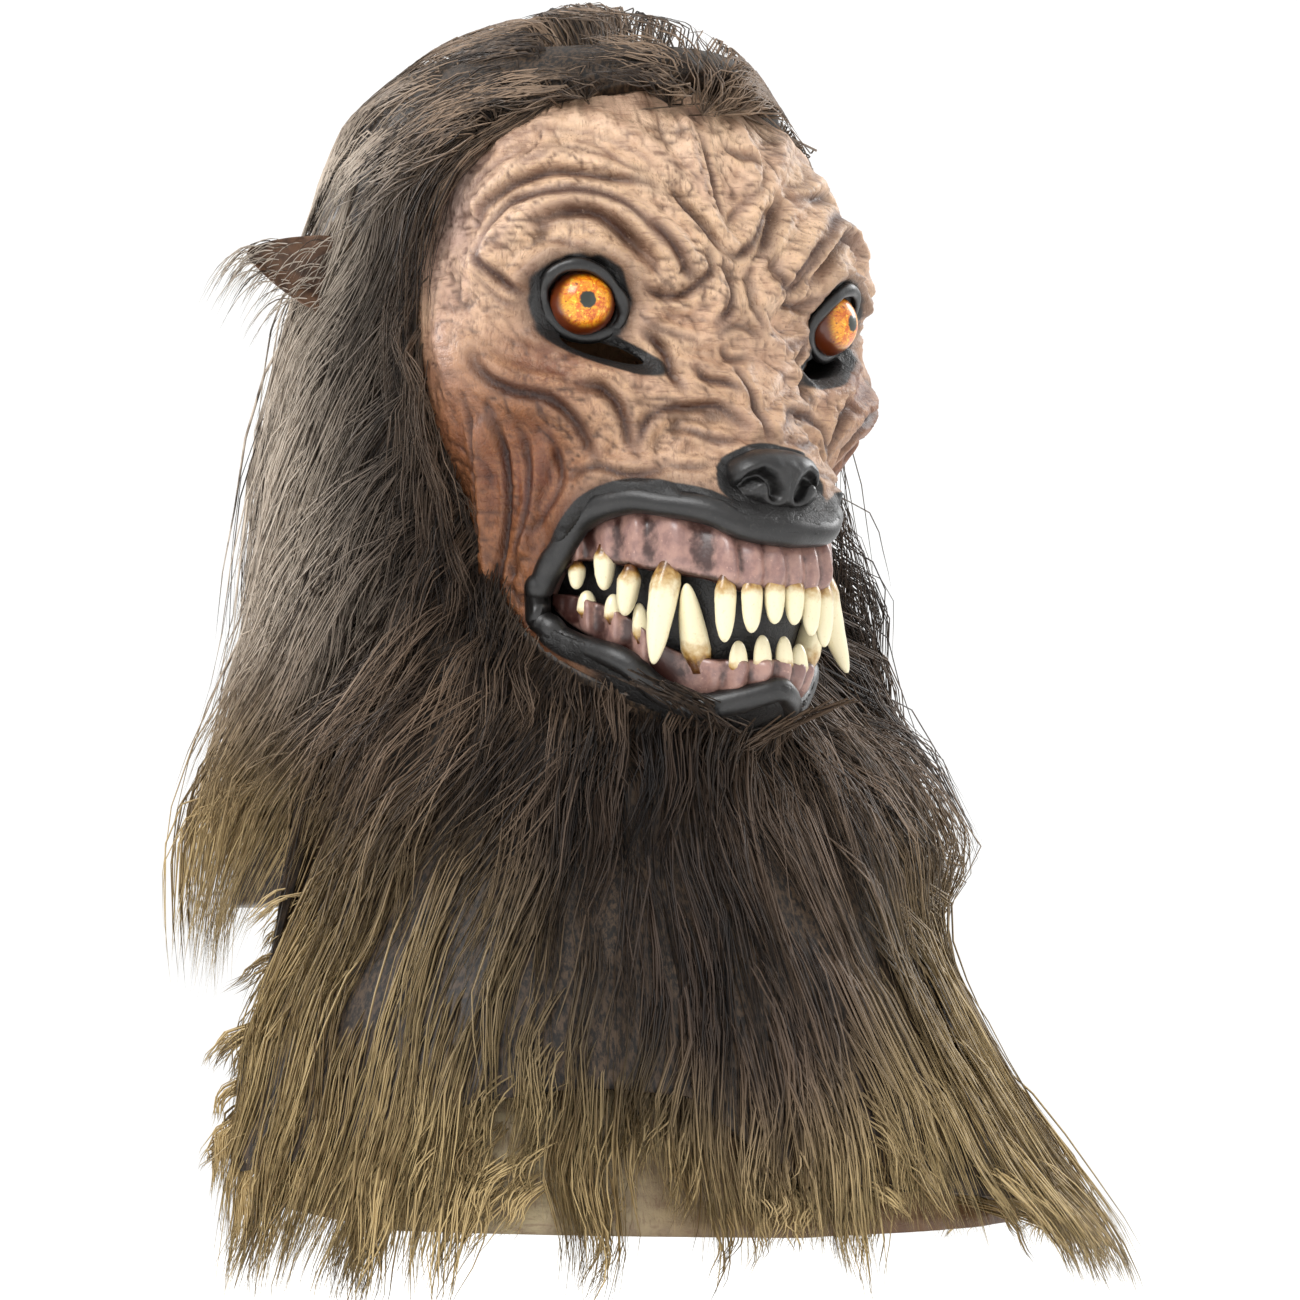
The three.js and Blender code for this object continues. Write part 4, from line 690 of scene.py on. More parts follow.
eye_distance = np.hypot((np.abs(unrolled) - across(EYE_AZIMUTH)) / LID_OUTLINE[0], (skin_z - EYE_Z) / LID_OUTLINE[1])
relief -= SOCKET_PUSH * (1 - smoothstep(eye_distance, 0.75, 1.05))
hood = smoothstep(skin_z - EYE_Z, -3, 9)  # the fold of flesh that hangs over the upper lid
relief += HOOD_RISE * hood * bell(eye_distance - 1.62, 0.3) - 1.5 * hood * bell(eye_distance - 2.2, 0.16)
slit_distance = from_slit(unrolled, skin_z)
relief += 1.6 * bell(slit_distance - 2.1, 0.9) - 2.5 * bell(slit_distance, 1.3)
outside = over_form(skin_azimuth, skin_z, relief)
print("relief from", relief.min().round(1), "to", relief.max().round(1), "mm")

# %% The inside: one wall in from the lowest relief nearby
lowest = relief.copy()
for shift in (1, 2, 3):
    for axis in (0, 1):
        rolled = [np.roll(lowest, s, axis) for s in (-shift, shift)]
        lowest = np.minimum(lowest, np.minimum(*rolled))
pick_rows = np.linspace(len(skin_z) - 1, 1, INNER_ROWS).round().astype(int)
lowest[:6] = relief[:6]
inner = over_form(skin_azimuth[pick_rows], skin_z[pick_rows], lowest[pick_rows] - WALL)
skin_rows = np.concatenate([outside, inner])


def both(values, inner_value=0.0):
    """Paint numbers for the outside's rows, then one value for the inside's."""
    return np.concatenate([values, np.broadcast_to(inner_value, inner.shape[:2])])


# %% [markdown]
# ## Where each paint goes
# A painter puts black round eyes, slits, mouth and nose, runs brown wash into every groove, sponges mauve on the
# temples and orange under the cheeks, and leaves the bib bare. Painted shade is added too: with the wash in grooves,
# creases, hollows and round the eyes, low on the face and over the bib; and the pale ridges carry a painted highlight.
# Each of these becomes a number from 0 to 1 at each point of the skin, worked out from how far the point is from the
# feature, and the material reads them later.


# %% Paint masks
def slit_paint(distance):
    """1 up to a little past the slit's rim, then a bell's fall."""
    return bell(np.maximum(distance - 1.15, 0), 0.6)


def sponged(azimuth, level, half_angle, half_height):
    """Paint dabbed on both sides of the face: a bell in azimuth times a bell in height."""
    across_spot, up_spot = (np.abs(skin_azimuth) - azimuth) / half_angle, (skin_z - level_z(level)) / half_height
    return np.exp(-across_spot ** 2 - up_spot ** 2)


eye_ring = bell(np.maximum(eye_distance - 1.0 - 0.15 * patchy(unrolled, skin_z, 4, 10), 0), 0.34)
slit_ring = slit_paint(slit_distance)
lip_paint = bell(np.maximum(-opening - 10, 0), 2.6) * corner
# The groove mark is brown wash and painted shade: it darkens the skin round the lips, round the eye sockets, in creases
# and in the hollows of the folds.
groove = np.maximum(groove, 0.75 * bell(np.maximum(-opening - 9, 0), 9) * corner)
groove = np.maximum(groove, 0.8 * bell(np.maximum(eye_distance - 1.3, 0), 0.5))
groove = np.maximum(groove, np.clip(creases * 1.1, 0, 0.8))
groove = np.maximum(groove, np.clip(-folds / 5, 0, 0.5))
nose_ring = bell(np.maximum(np.hypot(unrolled / 21, (skin_z - NOSE_Z) / 14) - 0.95, 0), 0.16)
muzzle_tip = bell(unrolled, 19) ** 0.5 * smoothstep(skin_z, level_z(0.78), level_z(0.76)) * (
    1 - smoothstep(skin_z, level_z(0.7), level_z(0.68)))
in_mouth = smoothstep(opening, -1, 3) * corner
eye_to_slit = bell(np.hypot((np.abs(unrolled) - across(35.0)) / 15, (skin_z - (EYE_Z + SLIT_Z) / 2) / 8), 1.0)
# Where hair hides the chin's edge, the paint is black too, so that no pale strip shows under the lip.
under_lip = mouth_z(LOWER_LIP, skin_azimuth.ravel()).reshape(skin_z.shape) - skin_z
chin = 0.6 * smoothstep(under_lip, 1, 6) * (1 - smoothstep(np.abs(skin_azimuth), 26, 50)) * (skin_z > throat)
black_parts = [chin, eye_ring, slit_ring, lip_paint, nose_ring, muzzle_tip, in_mouth, eye_to_slit]
black = np.clip(np.maximum.reduce(black_parts), 0, 1)
mauve = sponged(70, 0.22, 12, 38)
orange = np.maximum(sponged(43, 0.50, 11, 13), 0.95 * sponged(52, 0.66, 15, 26))  # below the eye, and the cheek
# Pale dry-brushed flesh on the raised relief, which also stands in as a painted highlight on the ridges.
ridge = np.clip(fine / 1.6, 0, 1)
skin_level = (WALL - skin_z) / FACE_DROP
# Painted shade: the face darkens from the brows down towards the muzzle, more at its sides than on the bridge; on the
# bib it darkens all but the bare latex near the hem.
shade = smoothstep(skin_level, 0.26, 0.6) * (0.3 + 0.7 * smoothstep(np.abs(skin_azimuth), 22, 50))
bib = smoothstep(skin_level, 1.02, 1.12)
shade = np.where(skin_level > 1.02, 1 - 0.85 * bell(skin_azimuth + 45, 28), shade)  # bare latex shows near the hem
skin = closed_grid(
    "painted_latex_skin", skin_rows, [0, 0, WALL + 0.3], [0, 0, 0],
    marks={"groove": both(np.clip(groove, 0, 1)), "ridge": both(ridge), "black": both(black, slit_ring[pick_rows]),
           "mauve": both(mauve), "shade": both(shade), "bib": both(bib), "orange": both(orange),
           "inside": both(np.zeros(relief.shape), 1.0)})
print("skin points", len(skin.data.vertices))

# %% [markdown]
# ## Sight slits
# The wearer looks out through a slit below each eyeball, cut in the finished casting with a knife. A closed cutter
# as wide as the slit, taken away from the skin with a Boolean, leaves clean edges and walls as thick as the latex.
# The result is kept as a plain mesh, so no modifier is live when the piece is finished.

# %% The two sight slits, cut through the wall
SLIT_STATIONS, SLIT_REACH = 40, (52.0, 125.0)
for side in (-1, 1):
    k = 2 * np.pi * np.arange(SLIT_STATIONS) / SLIT_STATIONS
    long, high = SLIT_LENGTH / 2 * squared(np.cos(k), 0.9), SLIT_HEIGHT / 2 * np.sin(k) * (1 - 0.25 * np.cos(k))
    away = long * math.cos(SLIT_TILT) - high * math.sin(SLIT_TILT)
    up = -(long * math.sin(SLIT_TILT) + high * math.cos(SLIT_TILT))
    out = polar(1.0, side * SLIT_AZIMUTH, 0.0)
    sideways = polar(1.0, side * SLIT_AZIMUTH + 90, 0.0)
    loop = -side * away[:, None] * sideways + up[:, None] * np.array([0, 0, 1.0]) + [0, 0, SLIT_Z]
    rings = np.stack([loop + out * SLIT_REACH[1], loop + out * SLIT_REACH[0]])
    middle = [rings[0].mean(axis=0), rings[1].mean(axis=0)]
    painted = np.ones(rings.shape[:2])
    cutter = closed_grid("slit_cutter", rings, *middle, marks={"black": painted, "inside": 0 * painted})
    if sum(p.area * p.center.dot(p.normal) for p in cutter.data.polygons) < 0:
        cutter.data.flip_normals()
    cut = skin.modifiers.new("slit", "BOOLEAN")
    cut.operation, cut.solver, cut.object = "DIFFERENCE", "MANIFOLD", cutter
    baked = bpy.data.meshes.new_from_object(skin.evaluated_get(bpy.context.evaluated_depsgraph_get()))
    skin.modifiers.clear()
    baked.materials.clear()
    skin.data = baked
    bpy.data.objects.remove(cutter)
skin.data.polygons.foreach_set("use_smooth", np.ones(len(skin.data.polygons), bool))
skin.data.polygons.foreach_set("material_index", np.zeros(len(skin.data.polygons), np.int32))
# The cut's own points have no paint yet, so the black round the slits is worked out again from where each point is.
at = np.empty(3 * len(skin.data.vertices), np.float32)
skin.data.vertices.foreach_get("co", at)
at = at.reshape(-1, 3) / MM
painted = np.empty(len(at), np.float32)
skin.data.attributes["black"].data.foreach_get("value", painted)
near_slit = from_slit(across(np.degrees(np.arctan2(at[:, 0], -at[:, 1]))), at[:, 2])
painted = np.maximum(painted, slit_paint(near_slit))
skin.data.attributes["black"].data.foreach_set("value", painted.astype(np.float32))
print("points painted black at the slits:", int((near_slit < 1.3).sum()))
settle(skin, "latex_skin", "latex_head")

# %% [markdown]
# ## Rolled edges: lips and lids
# Lips and eyelids are fleshy rolls that overhang what is behind them, which a height over the form can't do. Each is
# a closed tube carried along a loop on the face. Its thickness varies round the loop, so it looks modelled by hand.


# %% A tube along a loop on the face
def ring_piece(name, azimuth, z, rise, thickness, sides=12, squash=1.0):
    """Points centre + r (cos k aside + squash sin k normal); the loop runs clockwise for one who looks at the face."""
    centre = over_form(azimuth, z, rise)
    along = unit(np.roll(centre, -1, axis=0) - np.roll(centre, 1, axis=0))
    outward = polar(1.0, azimuth, np.zeros(len(azimuth)))
    aside = unit(np.cross(along, outward))
    normal = np.cross(aside, along)
    k = 2 * np.pi * np.arange(sides) / sides
    r = np.asarray(thickness)[:, None, None] / 2
    rings = centre[:, None] + r * (np.cos(k)[:, None] * aside[:, None] + squash * np.sin(k)[:, None] * normal[:, None])
    count = len(azimuth)
    i, j = np.meshgrid(np.arange(count), np.arange(sides), indexing="ij")
    n, m = (i + 1) % count, (j + 1) % sides
    quads = np.stack([i * sides + j, n * sides + j, n * sides + m, i * sides + m], axis=-1).reshape(-1, 4)
    return make_piece(name, rings.reshape(-1, 3), [quads])


# %% Lips
LIP_STATIONS, LIP_SIDES = 124, 16
UPPER_SHARE, LOWER_SHARE = 0.94, 0.82  # of the lips' thickness
spread = MOUTH_CORNER * np.sin(np.radians(np.linspace(-88, 88, LIP_STATIONS)))
lip_edge = LIP_THICKNESS / 2 - 1.5
lip_azimuth = np.concatenate([spread[:-1], -spread[:-1]])
lip_z = np.concatenate([mouth_z(UPPER_LIP, spread[:-1]) + lip_edge, mouth_z(LOWER_LIP, spread[:-1]) - lip_edge])
lip_run = np.arange(len(lip_azimuth), dtype=float)
wobble = patchy(lip_run * 1.6, lip_run * 0, 9, 11) - 0.5
lip_thickness = LIP_THICKNESS * np.repeat([UPPER_SHARE, LOWER_SHARE], LIP_STATIONS - 1)
lips = ring_piece("black_lips", lip_azimuth, lip_z + wobble, np.full(len(lip_z), -LIP_SINK) + 0.8 * wobble,
                  lip_thickness + 2.2 * wobble, sides=LIP_SIDES, squash=0.95)
settle(lips, "latex_skin")

# %% Lids, one ring round each eye
LID_HALF_WIDTH, LID_HALF_HEIGHT, LID_TILT, LID_THICKNESS = 15.6, 13.2, 16.0, 4.8
LID_STATIONS = 96
turn = np.radians(-90 + 360 * np.arange(LID_STATIONS) / LID_STATIONS)
lids = []
for label, side in (("right", -1), ("left", 1)):
    tilt = math.radians(side * LID_TILT)
    point = 1 + 0.22 * np.maximum(0, -side * np.sin(turn)) ** 4  # the corner by the nose is drawn out
    long = LID_HALF_WIDTH * np.sin(turn) * point
    high = LID_HALF_HEIGHT * np.cos(turn)
    away = long * math.cos(tilt) - high * math.sin(tilt)
    lid_z = EYE_Z + long * math.sin(tilt) + high * math.cos(tilt)
    wobble = patchy(np.arange(LID_STATIONS) * 1.0, np.zeros(LID_STATIONS), 7, 12 + side) - 0.5
    wobble[-12:] = np.linspace(wobble[-12], wobble[0], 12)
    rise = -2.2 + 1.8 * np.cos(turn) + wobble
    uneven = 0.9 + 0.25 * np.abs(np.cos(turn)) + 0.07 * np.sin(7 * turn + side)
    lid = ring_piece("eyelid_" + label, side * EYE_AZIMUTH + np.degrees(away / MEAN_RADIUS), lid_z, rise,
                     LID_THICKNESS * uneven + 2.4 * wobble, squash=0.8)
    lids.append(settle(lid, "latex_skin"))

# %% [markdown]
# ## Nose
# The nose pad is a soft block with two deep nostrils that curl open at the sides. It is a ball, pushed in wherever a
# nostril's comma runs, with a groove down its middle, and sunk into the muzzle as the solid's ball is.

# %% Nose pad
NOSE_ROWS, NOSE_COLUMNS = 54, 70
NOSTRIL_DEPTH, NOSTRIL_HALF_WIDTH, SPLIT_DEPTH = 7.5, 2.9, 1.3
NOSTRIL = np.array([[5.5, -5.0], [7.5, -0.5], [11.0, 2.0], [15.0, 0.5], [17.5, -3.0]])  # a comma, from its inner end
polar_angle = np.pi * np.arange(1, NOSE_ROWS + 1) / (NOSE_ROWS + 1)
round_angle = 2 * np.pi * np.arange(NOSE_COLUMNS) / NOSE_COLUMNS
# The ball's pole points out of the face; x is to the wearer's left, y is up, w is out.
ball_x = np.sin(polar_angle)[:, None] * np.cos(round_angle)
ball_y = np.sin(polar_angle)[:, None] * np.sin(round_angle)
ball_w = np.broadcast_to(np.cos(polar_angle)[:, None], ball_x.shape)
blocky = lambda half_size, v: half_size * squared(v, 0.86)
x, y, w = blocky(NOSE_HALF_WIDTH, ball_x), blocky(NOSE_HALF_HEIGHT, ball_y), blocky(NOSE_HALF_DEPTH, ball_w)
x = x * (1 + 0.1 * ball_y)
front = smoothstep(ball_w, -0.1, 0.3)
nostrils = np.zeros(x.shape)
for side in (-1, 1):
    d, share = near_line(x, y, NOSTRIL * [side, 1])
    nostrils = np.maximum(nostrils, bell(d, NOSTRIL_HALF_WIDTH - 1.4 * share))
split = bell(x, 1.1) * smoothstep(-y, -6, 4)
lumps = 0.5 * (patchy(x + 60, y + 60, 3.0, 21) - 0.5)
push = front * (NOSTRIL_DEPTH * nostrils + SPLIT_DEPTH * split) - lumps * front
shrink = 1 - push / NOSE_HALF_DEPTH * 0.35
w = w - push
x = x * np.where(nostrils > 0.3, 1, shrink)
nose_radius = float(form_radius(0.0, NOSE_Z)) - NOSE_SINK
nose_rows = np.stack([x, -(nose_radius + w), NOSE_Z + y], axis=-1)
nose = closed_grid("nose_pad", nose_rows, [0, -(nose_radius + NOSE_HALF_DEPTH - 0.6), NOSE_Z],
                   [0, -(nose_radius - NOSE_HALF_DEPTH), NOSE_Z])
settle(nose, "latex_skin")

# %% [markdown]
# ## Glass-like eyes
# Each eye is a cast acrylic dome, flat at the back. The painted iris is mapped by how far a point lies from the line
# of sight: the dome's own map keeps that, so the pattern follows the gaze and not the world.

# %% Eyeballs
EYE_BACK, EYE_RINGS, EYE_SIDES = 6.0, 30, 48
GAZE_AZIMUTH, GAZE_RISE = 23.0, -2.0  # degrees; both eyes look ahead and inwards
eye_centre_radius = float(form_radius(EYE_AZIMUTH, EYE_Z)) - EYE_SINK
eyes = []
for label, side in (("right", -1), ("left", 1)):
    centre = polar(eye_centre_radius, side * EYE_AZIMUTH, EYE_Z)
    gaze = unit(polar(math.cos(math.radians(GAZE_RISE)), side * GAZE_AZIMUTH, math.sin(math.radians(GAZE_RISE))))
    out = polar(1.0, side * EYE_AZIMUTH, 0.0)
    left = np.cross([0, 0, 1.0], -out)
    lowest_angle = math.acos(-EYE_BACK / EYE_RADIUS)
    t = lowest_angle * np.arange(1, EYE_RINGS + 1) / EYE_RINGS
    k = -2 * np.pi * np.arange(EYE_SIDES) / EYE_SIDES
    direction = (np.cos(t)[:, None, None] * out + np.sin(t)[:, None, None]
                 * (np.cos(k)[:, None] * left + np.sin(k)[:, None] * np.array([0, 0, 1.0])))
    rows = centre + EYE_RADIUS * direction
    points = np.concatenate([rows.reshape(-1, 3), [centre + EYE_RADIUS * out], [centre - EYE_BACK * out]])
    flat = unit(points - centre)
    gaze_left = unit(np.cross([0, 0, 1.0], -gaze))
    gaze_up = np.cross(-gaze, gaze_left)
    uv = 0.5 + 0.5 * np.stack([flat @ gaze_left, flat @ gaze_up], axis=1)
    faces = [grid_faces(EYE_RINGS, EYE_SIDES), fan_faces(EYE_RINGS, EYE_SIDES, len(points) - 2, len(points) - 1)]
    eye = make_piece("acrylic_eye_" + label, points, faces, uv=uv)
    eyes.append(settle(eye, "eye", "eye_" + label))

# %% [markdown]
# ## Teeth
# Twenty-six separate teeth are set in the gums: long canines, broad incisors, small pegs behind. Each is rings that
# swell and close along a line from root to tip. Grooves run down it, as in a cast and sanded resin tooth.

# %% Teeth: name, azimuth of root and tip, level of root and tip, width, depth, lean, and how blunt the tip is
TEETH = [
    ("upper_incisor_inner", 2.05, 2.05, 0.812, 0.87, 8.8, 7, 0, 3.5),
    ("upper_incisor_middle", 6.2, 6.3, 0.814, 0.884, 8.8, 7, 0, 3.5),
    ("upper_incisor_outer", 10.5, 10.8, 0.81, 0.898, 8.8, 7, 0, 3.5),
    ("upper_canine", 18.6, 23, 0.78, 0.93, 13, 12, 7, 1.8),
    ("upper_premolar", 26, 27.4, 0.795, 0.855, 9.5, 8, 1, 3),
    ("upper_molar", 31.6, 31.8, 0.762, 0.815, 9, 8, 1, 3),
    ("upper_back_molar", 38.8, 39.2, 0.784, 0.81, 7, 6, 0, 3),
    ("lower_incisor_inner", 2.4, 2.4, 0.926, 0.884, 8, 6, 0, 3),
    ("lower_incisor_outer", 6.9, 6.8, 0.928, 0.893, 8, 6, 0, 3),
    ("lower_canine", 12.5, 16.2, 0.926, 0.81, 12.5, 11.5, 4, 1.8),
    ("lower_premolar", 23.5, 24, 0.88, 0.835, 7, 6, -1, 3),
    ("lower_molar", 29.4, 29.6, 0.85, 0.82, 8, 7, 0, 3),
    ("lower_back_molar", 36.2, 36.2, 0.838, 0.812, 8, 6.5, 0, 3),
]
GUM_THICKNESS, TOOTH_ROOT = 12.0, 4.0
TOOTH_RINGS, TOOTH_SIDES = 19, 18
teeth = []
for number, (name, start, end, root, tip, width, depth, lean, blunt) in enumerate(TEETH):
    for label, side in (("right", -1), ("left", 1)):
        root_z, tip_z = float(level_z(root)), float(level_z(tip))
        down = math.copysign(1, tip_z - root_z)
        base = float(form_radius(start, root_z)) - MOUTH_DEPTH + GUM_THICKNESS - depth / 2 + 1
        share = (1 - (1 - np.arange(TOOTH_RINGS) / (TOOTH_RINGS - 0.4)) ** 1.35)[:, None]
        k = 2 * np.pi * (np.arange(TOOTH_SIDES) + 0.5) / TOOTH_SIDES
        swell = np.sqrt(1 - share**blunt) * (0.5 + 0.5 * smoothstep(share, 0, 0.3))
        ridges = 1 + 0.035 * np.cos(5 * k + number) + 0.02 * np.cos(9 * k + 2 * number)
        bumps = 0.05 * (patchy(share * 30 + number * 7, k * 3, 2.2, 31 + number) - 0.5)
        swell = swell * (ridges + bumps)
        height = root_z - down * TOOTH_ROOT + share * (tip_z - root_z + down * TOOTH_ROOT)
        centre_azimuth = side * (start + (end - start) * share)
        centre = polar(base + lean * share**2, centre_azimuth, height)
        out = polar(1.0, centre_azimuth, np.zeros(share.shape))
        sideways = polar(1.0, centre_azimuth + 90, np.zeros(share.shape))
        rows = (centre + (swell * depth / 2 * np.cos(k))[..., None] * out
                + (swell * width / 2 * np.sin(k))[..., None] * sideways)
        top = polar(base, side * start, root_z - down * TOOTH_ROOT)
        bottom = polar(base + lean, side * end, tip_z)
        marks = share * np.ones(TOOTH_SIDES)
        if down > 0:
            rows, marks, top, bottom = rows[::-1], marks[::-1], bottom, top  # a grid's first row is its highest
        tooth = closed_grid("resin_" + name + "_" + label, rows, top, bottom, marks={"along": marks})
        teeth.append(settle(tooth, "tooth", name + "_" + label))

# %% [markdown]
# ## Gums
# The gums swell over each tooth's root and pinch between the roots, with painted shade darkening them there and along
# the teeth. A gum is a bar carried along the mouth, whose front is pushed out by a bell over each tooth.

# %% Gums
GUM_BELOW_LIP, GUM_CORNER_EASE, GUM_STATIONS, GUM_SECTION, GUM_EDGE = 3.5, 7.0, 190, 18, 47.5
GUM_SWELL = {"upper": 4.0, "lower": 5.0}
ARC_MM = 2.05  # millimetres along the gum for each degree
gums = []
for jaw, lip_column, root_column in (("upper", UPPER_LIP, UPPER_ROOT), ("lower", LOWER_LIP, LOWER_ROOT)):
    azimuths = np.linspace(-GUM_EDGE, GUM_EDGE, GUM_STATIONS)
    below = GUM_BELOW_LIP + GUM_CORNER_EASE * np.abs(azimuths / MOUTH_CORNER) ** 3
    sign = -1 if jaw == "upper" else 1
    lip = mouth_z(lip_column, azimuths) + sign * (below - 5.5)
    root = mouth_z(root_column, azimuths) + sign * 2.2
    low, high = np.minimum(lip, root), np.maximum(lip, root)
    roots = np.array([[s * row[1], row[5]] for row in TEETH if row[0].startswith(jaw) for s in (-1, 1)])
    swell = np.max(bell((azimuths[:, None] - roots[:, 0]) * ARC_MM, roots[:, 1] * 0.42), axis=1)
    swell = swell * (0.75 + 0.5 * patchy(azimuths * ARC_MM + 200, azimuths * 0, 6, 43))
    k = 2 * np.pi * (np.arange(GUM_SECTION) + 0.5) / GUM_SECTION
    middle, reach = (low + high) / 2, (high - low) / 2
    z = middle[:, None] + reach[:, None] * squared(np.sin(k), 0.6)
    out = squared(np.cos(k), 0.6)
    bulge = (GUM_SWELL[jaw] * swell[:, None] - 1.8) * np.clip(out, 0, 1)
    lumps = 0.9 * (patchy(across(azimuths)[:, None] + 0 * z, z, 3.5, 41) - 0.5) * np.clip(out, 0, 1)
    rise = -MOUTH_DEPTH + 0.6 + (GUM_THICKNESS - 1.2) * (out + 1) / 2 + bulge + lumps
    rows = over_form(azimuths[:, None] + 0 * z, z, rise)
    # Painted shade: the gum darkens where it pinches between the roots and along the line where the teeth come out of
    # it.
    pinch = (1 - swell)[:, None] * np.clip(out, 0, 1)
    to_root = 1 - np.abs(z - root[:, None]) / (2 * reach[:, None])
    tooth_line = smoothstep(to_root, 0.86, 0.97)
    gum = closed_grid("gum_bar_" + jaw, rows, rows[0].mean(axis=0), rows[-1].mean(axis=0),
                      marks={"pinch": np.maximum(pinch, tooth_line)})
    gums.append(settle(gum, "gum", jaw + "_gum"))
print(len(teeth), "teeth in", len(gums), "gums")

# %% [markdown]
# ## Ears
# Each ear is a thin cupped leaf of latex that stands out sideways behind the temple, its hollow facing forwards. It
# is one sheet, as wide as a leaf's outline at each distance from the skull, bent round its length, with a thickness.


# %% A sheet with a thickness
def shell_piece(name, outer, inner, marks=None):
    """Closes two grids of the same size, an outer and an inner one, along their four borders."""
    rows, columns = outer.shape[:2]
    size = rows * columns
    front = grid_faces(rows, columns, around=False)
    index = np.arange(size).reshape(rows, columns)
    border = np.concatenate([index[:-1, 0], index[-1, :-1], index[:0:-1, -1], index[0, :0:-1]])
    after = np.roll(border, -1)
    rim = np.stack([after, border, border + size, after + size], axis=1)
    points = np.concatenate([outer.reshape(-1, 3), inner.reshape(-1, 3)])
    if marks:
        marks = {mark: np.concatenate([v.ravel(), v.ravel()]) for mark, v in marks.items()}
    return make_piece(name, points, [front, front[:, ::-1] + size, rim], marks)


# %% The two ears
EAR_AZIMUTH, EAR_Z, EAR_LENGTH, EAR_HALF_WIDTH, EAR_WALL, EAR_RISE = 113.0, WALL - 84.0, 47.0, 18.0, 2.6, 10.0
EAR_CUP, EAR_SINK, EAR_ROWS, EAR_COLUMNS = 5.5, 3.0, 44, 36
EAR_ROOT = float(form_radius(EAR_AZIMUTH, EAR_Z)) - EAR_SINK  # its distance from the axis


def ear_outline(v):
    """Half the leaf's width at a share v of its length: 1 - v^1.7 to the power 0.75, so it ends in a point."""
    return EAR_HALF_WIDTH * (1 - v**1.7) ** 0.75


ears = []
for label, side in (("right", -1), ("left", 1)):
    v, u = np.meshgrid(np.linspace(0, 0.985, EAR_ROWS), np.linspace(-1, 1, EAR_COLUMNS), indexing="ij")
    leaf = ear_outline(v) * (0.86 + 0.14 * smoothstep(v, 0, 0.4))
    ripple = 0.5 * np.cos(3 * np.pi * u) * (1 - v) + 0.8 * (patchy(u * 12 + 30, v * 40, 5, 51) - 0.5)
    cup = EAR_CUP * (1 - u**2) * (1 - 0.6 * v) - ripple
    up = leaf * u + EAR_RISE * v**1.5
    radius = EAR_ROOT + EAR_LENGTH * v
    radial = polar(1.0, side * EAR_AZIMUTH, 0.0)
    backwards = polar(1.0, side * (EAR_AZIMUTH + 90), 0.0)
    base = radius[..., None] * radial + (EAR_Z + up)[..., None] * np.array([0, 0, 1.0])
    front_face = base + (cup - EAR_SINK)[..., None] * backwards
    rear_face = base + (cup - EAR_SINK + EAR_WALL * (1 - 0.5 * v))[..., None] * backwards
    hollow = (1 - u**2) * (1 - v)
    if side < 0:
        front_face, rear_face, hollow = front_face[:, ::-1], rear_face[:, ::-1], hollow[:, ::-1]
    ear = shell_piece("latex_ear_" + label, front_face, rear_face, marks={"hollow": hollow})
    ears.append(settle(ear, "latex_ear", "ear_" + label))

# %% [markdown]
# ## The hair's outer form
# Long hair hangs from the casting as a coat whose outside is known: its radius at eight azimuths and many heights.
# The strands below run between the bare form and this coat, so together they fill what the three solids of fur hold.

# %% Sections of the coat, its hem and the hairline
FUR_REACH, FUR_RISE = 170.0, 27.0
FUR_SECTIONS = np.array([  # level, then shares of FUR_REACH at -180, -135 ... 135 degrees
    [-0.09, 0.1, 0.1, 0.1, 0.1, 0.1, 0.1, 0.1, 0.1],
    [-0.082, 0.2, 0.19, 0.15, 0.14, 0.15, 0.14, 0.15, 0.19],
    [-0.055, 0.39, 0.35, 0.27, 0.26, 0.3, 0.26, 0.27, 0.35],
    [-0.005, 0.52, 0.48, 0.4, 0.38, 0.44, 0.37, 0.38, 0.48],
    [0.059, 0.61, 0.59, 0.51, 0.47, 0.52, 0.44, 0.47, 0.59],
    [0.122, 0.68, 0.64, 0.56, 0.54, 0.54, 0.51, 0.54, 0.64],
    [0.195, 0.73, 0.68, 0.6, 0.6, 0.57, 0.6, 0.6, 0.68],
    [0.313, 0.77, 0.74, 0.64, 0.62, 0.6, 0.62, 0.64, 0.73],
    [0.43, 0.8, 0.78, 0.66, 0.62, 0.62, 0.62, 0.66, 0.77],
    [0.586, 0.82, 0.83, 0.67, 0.6, 0.7, 0.6, 0.67, 0.8],
    [0.733, 0.84, 0.86, 0.69, 0.56, 0.76, 0.56, 0.7, 0.82],
    [0.889, 0.86, 0.89, 0.72, 0.55, 0.73, 0.55, 0.74, 0.84],
    [0.967, 0.87, 0.92, 0.76, 0.58, 0.68, 0.59, 0.78, 0.86],
    [1.036, 0.88, 0.96, 0.81, 0.66, 0.62, 0.7, 0.88, 0.88],
    [1.114, 0.89, 1.0, 0.82, 0.68, 0.61, 0.76, 0.98, 0.91],
    [1.192, 0.89, 1.02, 0.8, 0.71, 0.65, 0.8, 1.05, 0.92],
    [1.309, 0.89, 1.01, 0.84, 0.79, 0.72, 0.8, 0.87, 0.89],
    [1.427, 0.88, 0.97, 0.93, 0.87, 0.8, 0.88, 0.92, 0.88],
    [1.622, 0.88, 0.88, 1.01, 0.96, 0.88, 1.05, 1.11, 0.89],
    [1.778, 0.88, 0.88, 1.02, 1.0, 0.93, 1.21, 1.25, 0.91],
    [1.905, 0.88, 0.88, 1.03, 1.02, 0.96, 1.31, 1.33, 0.93],
])
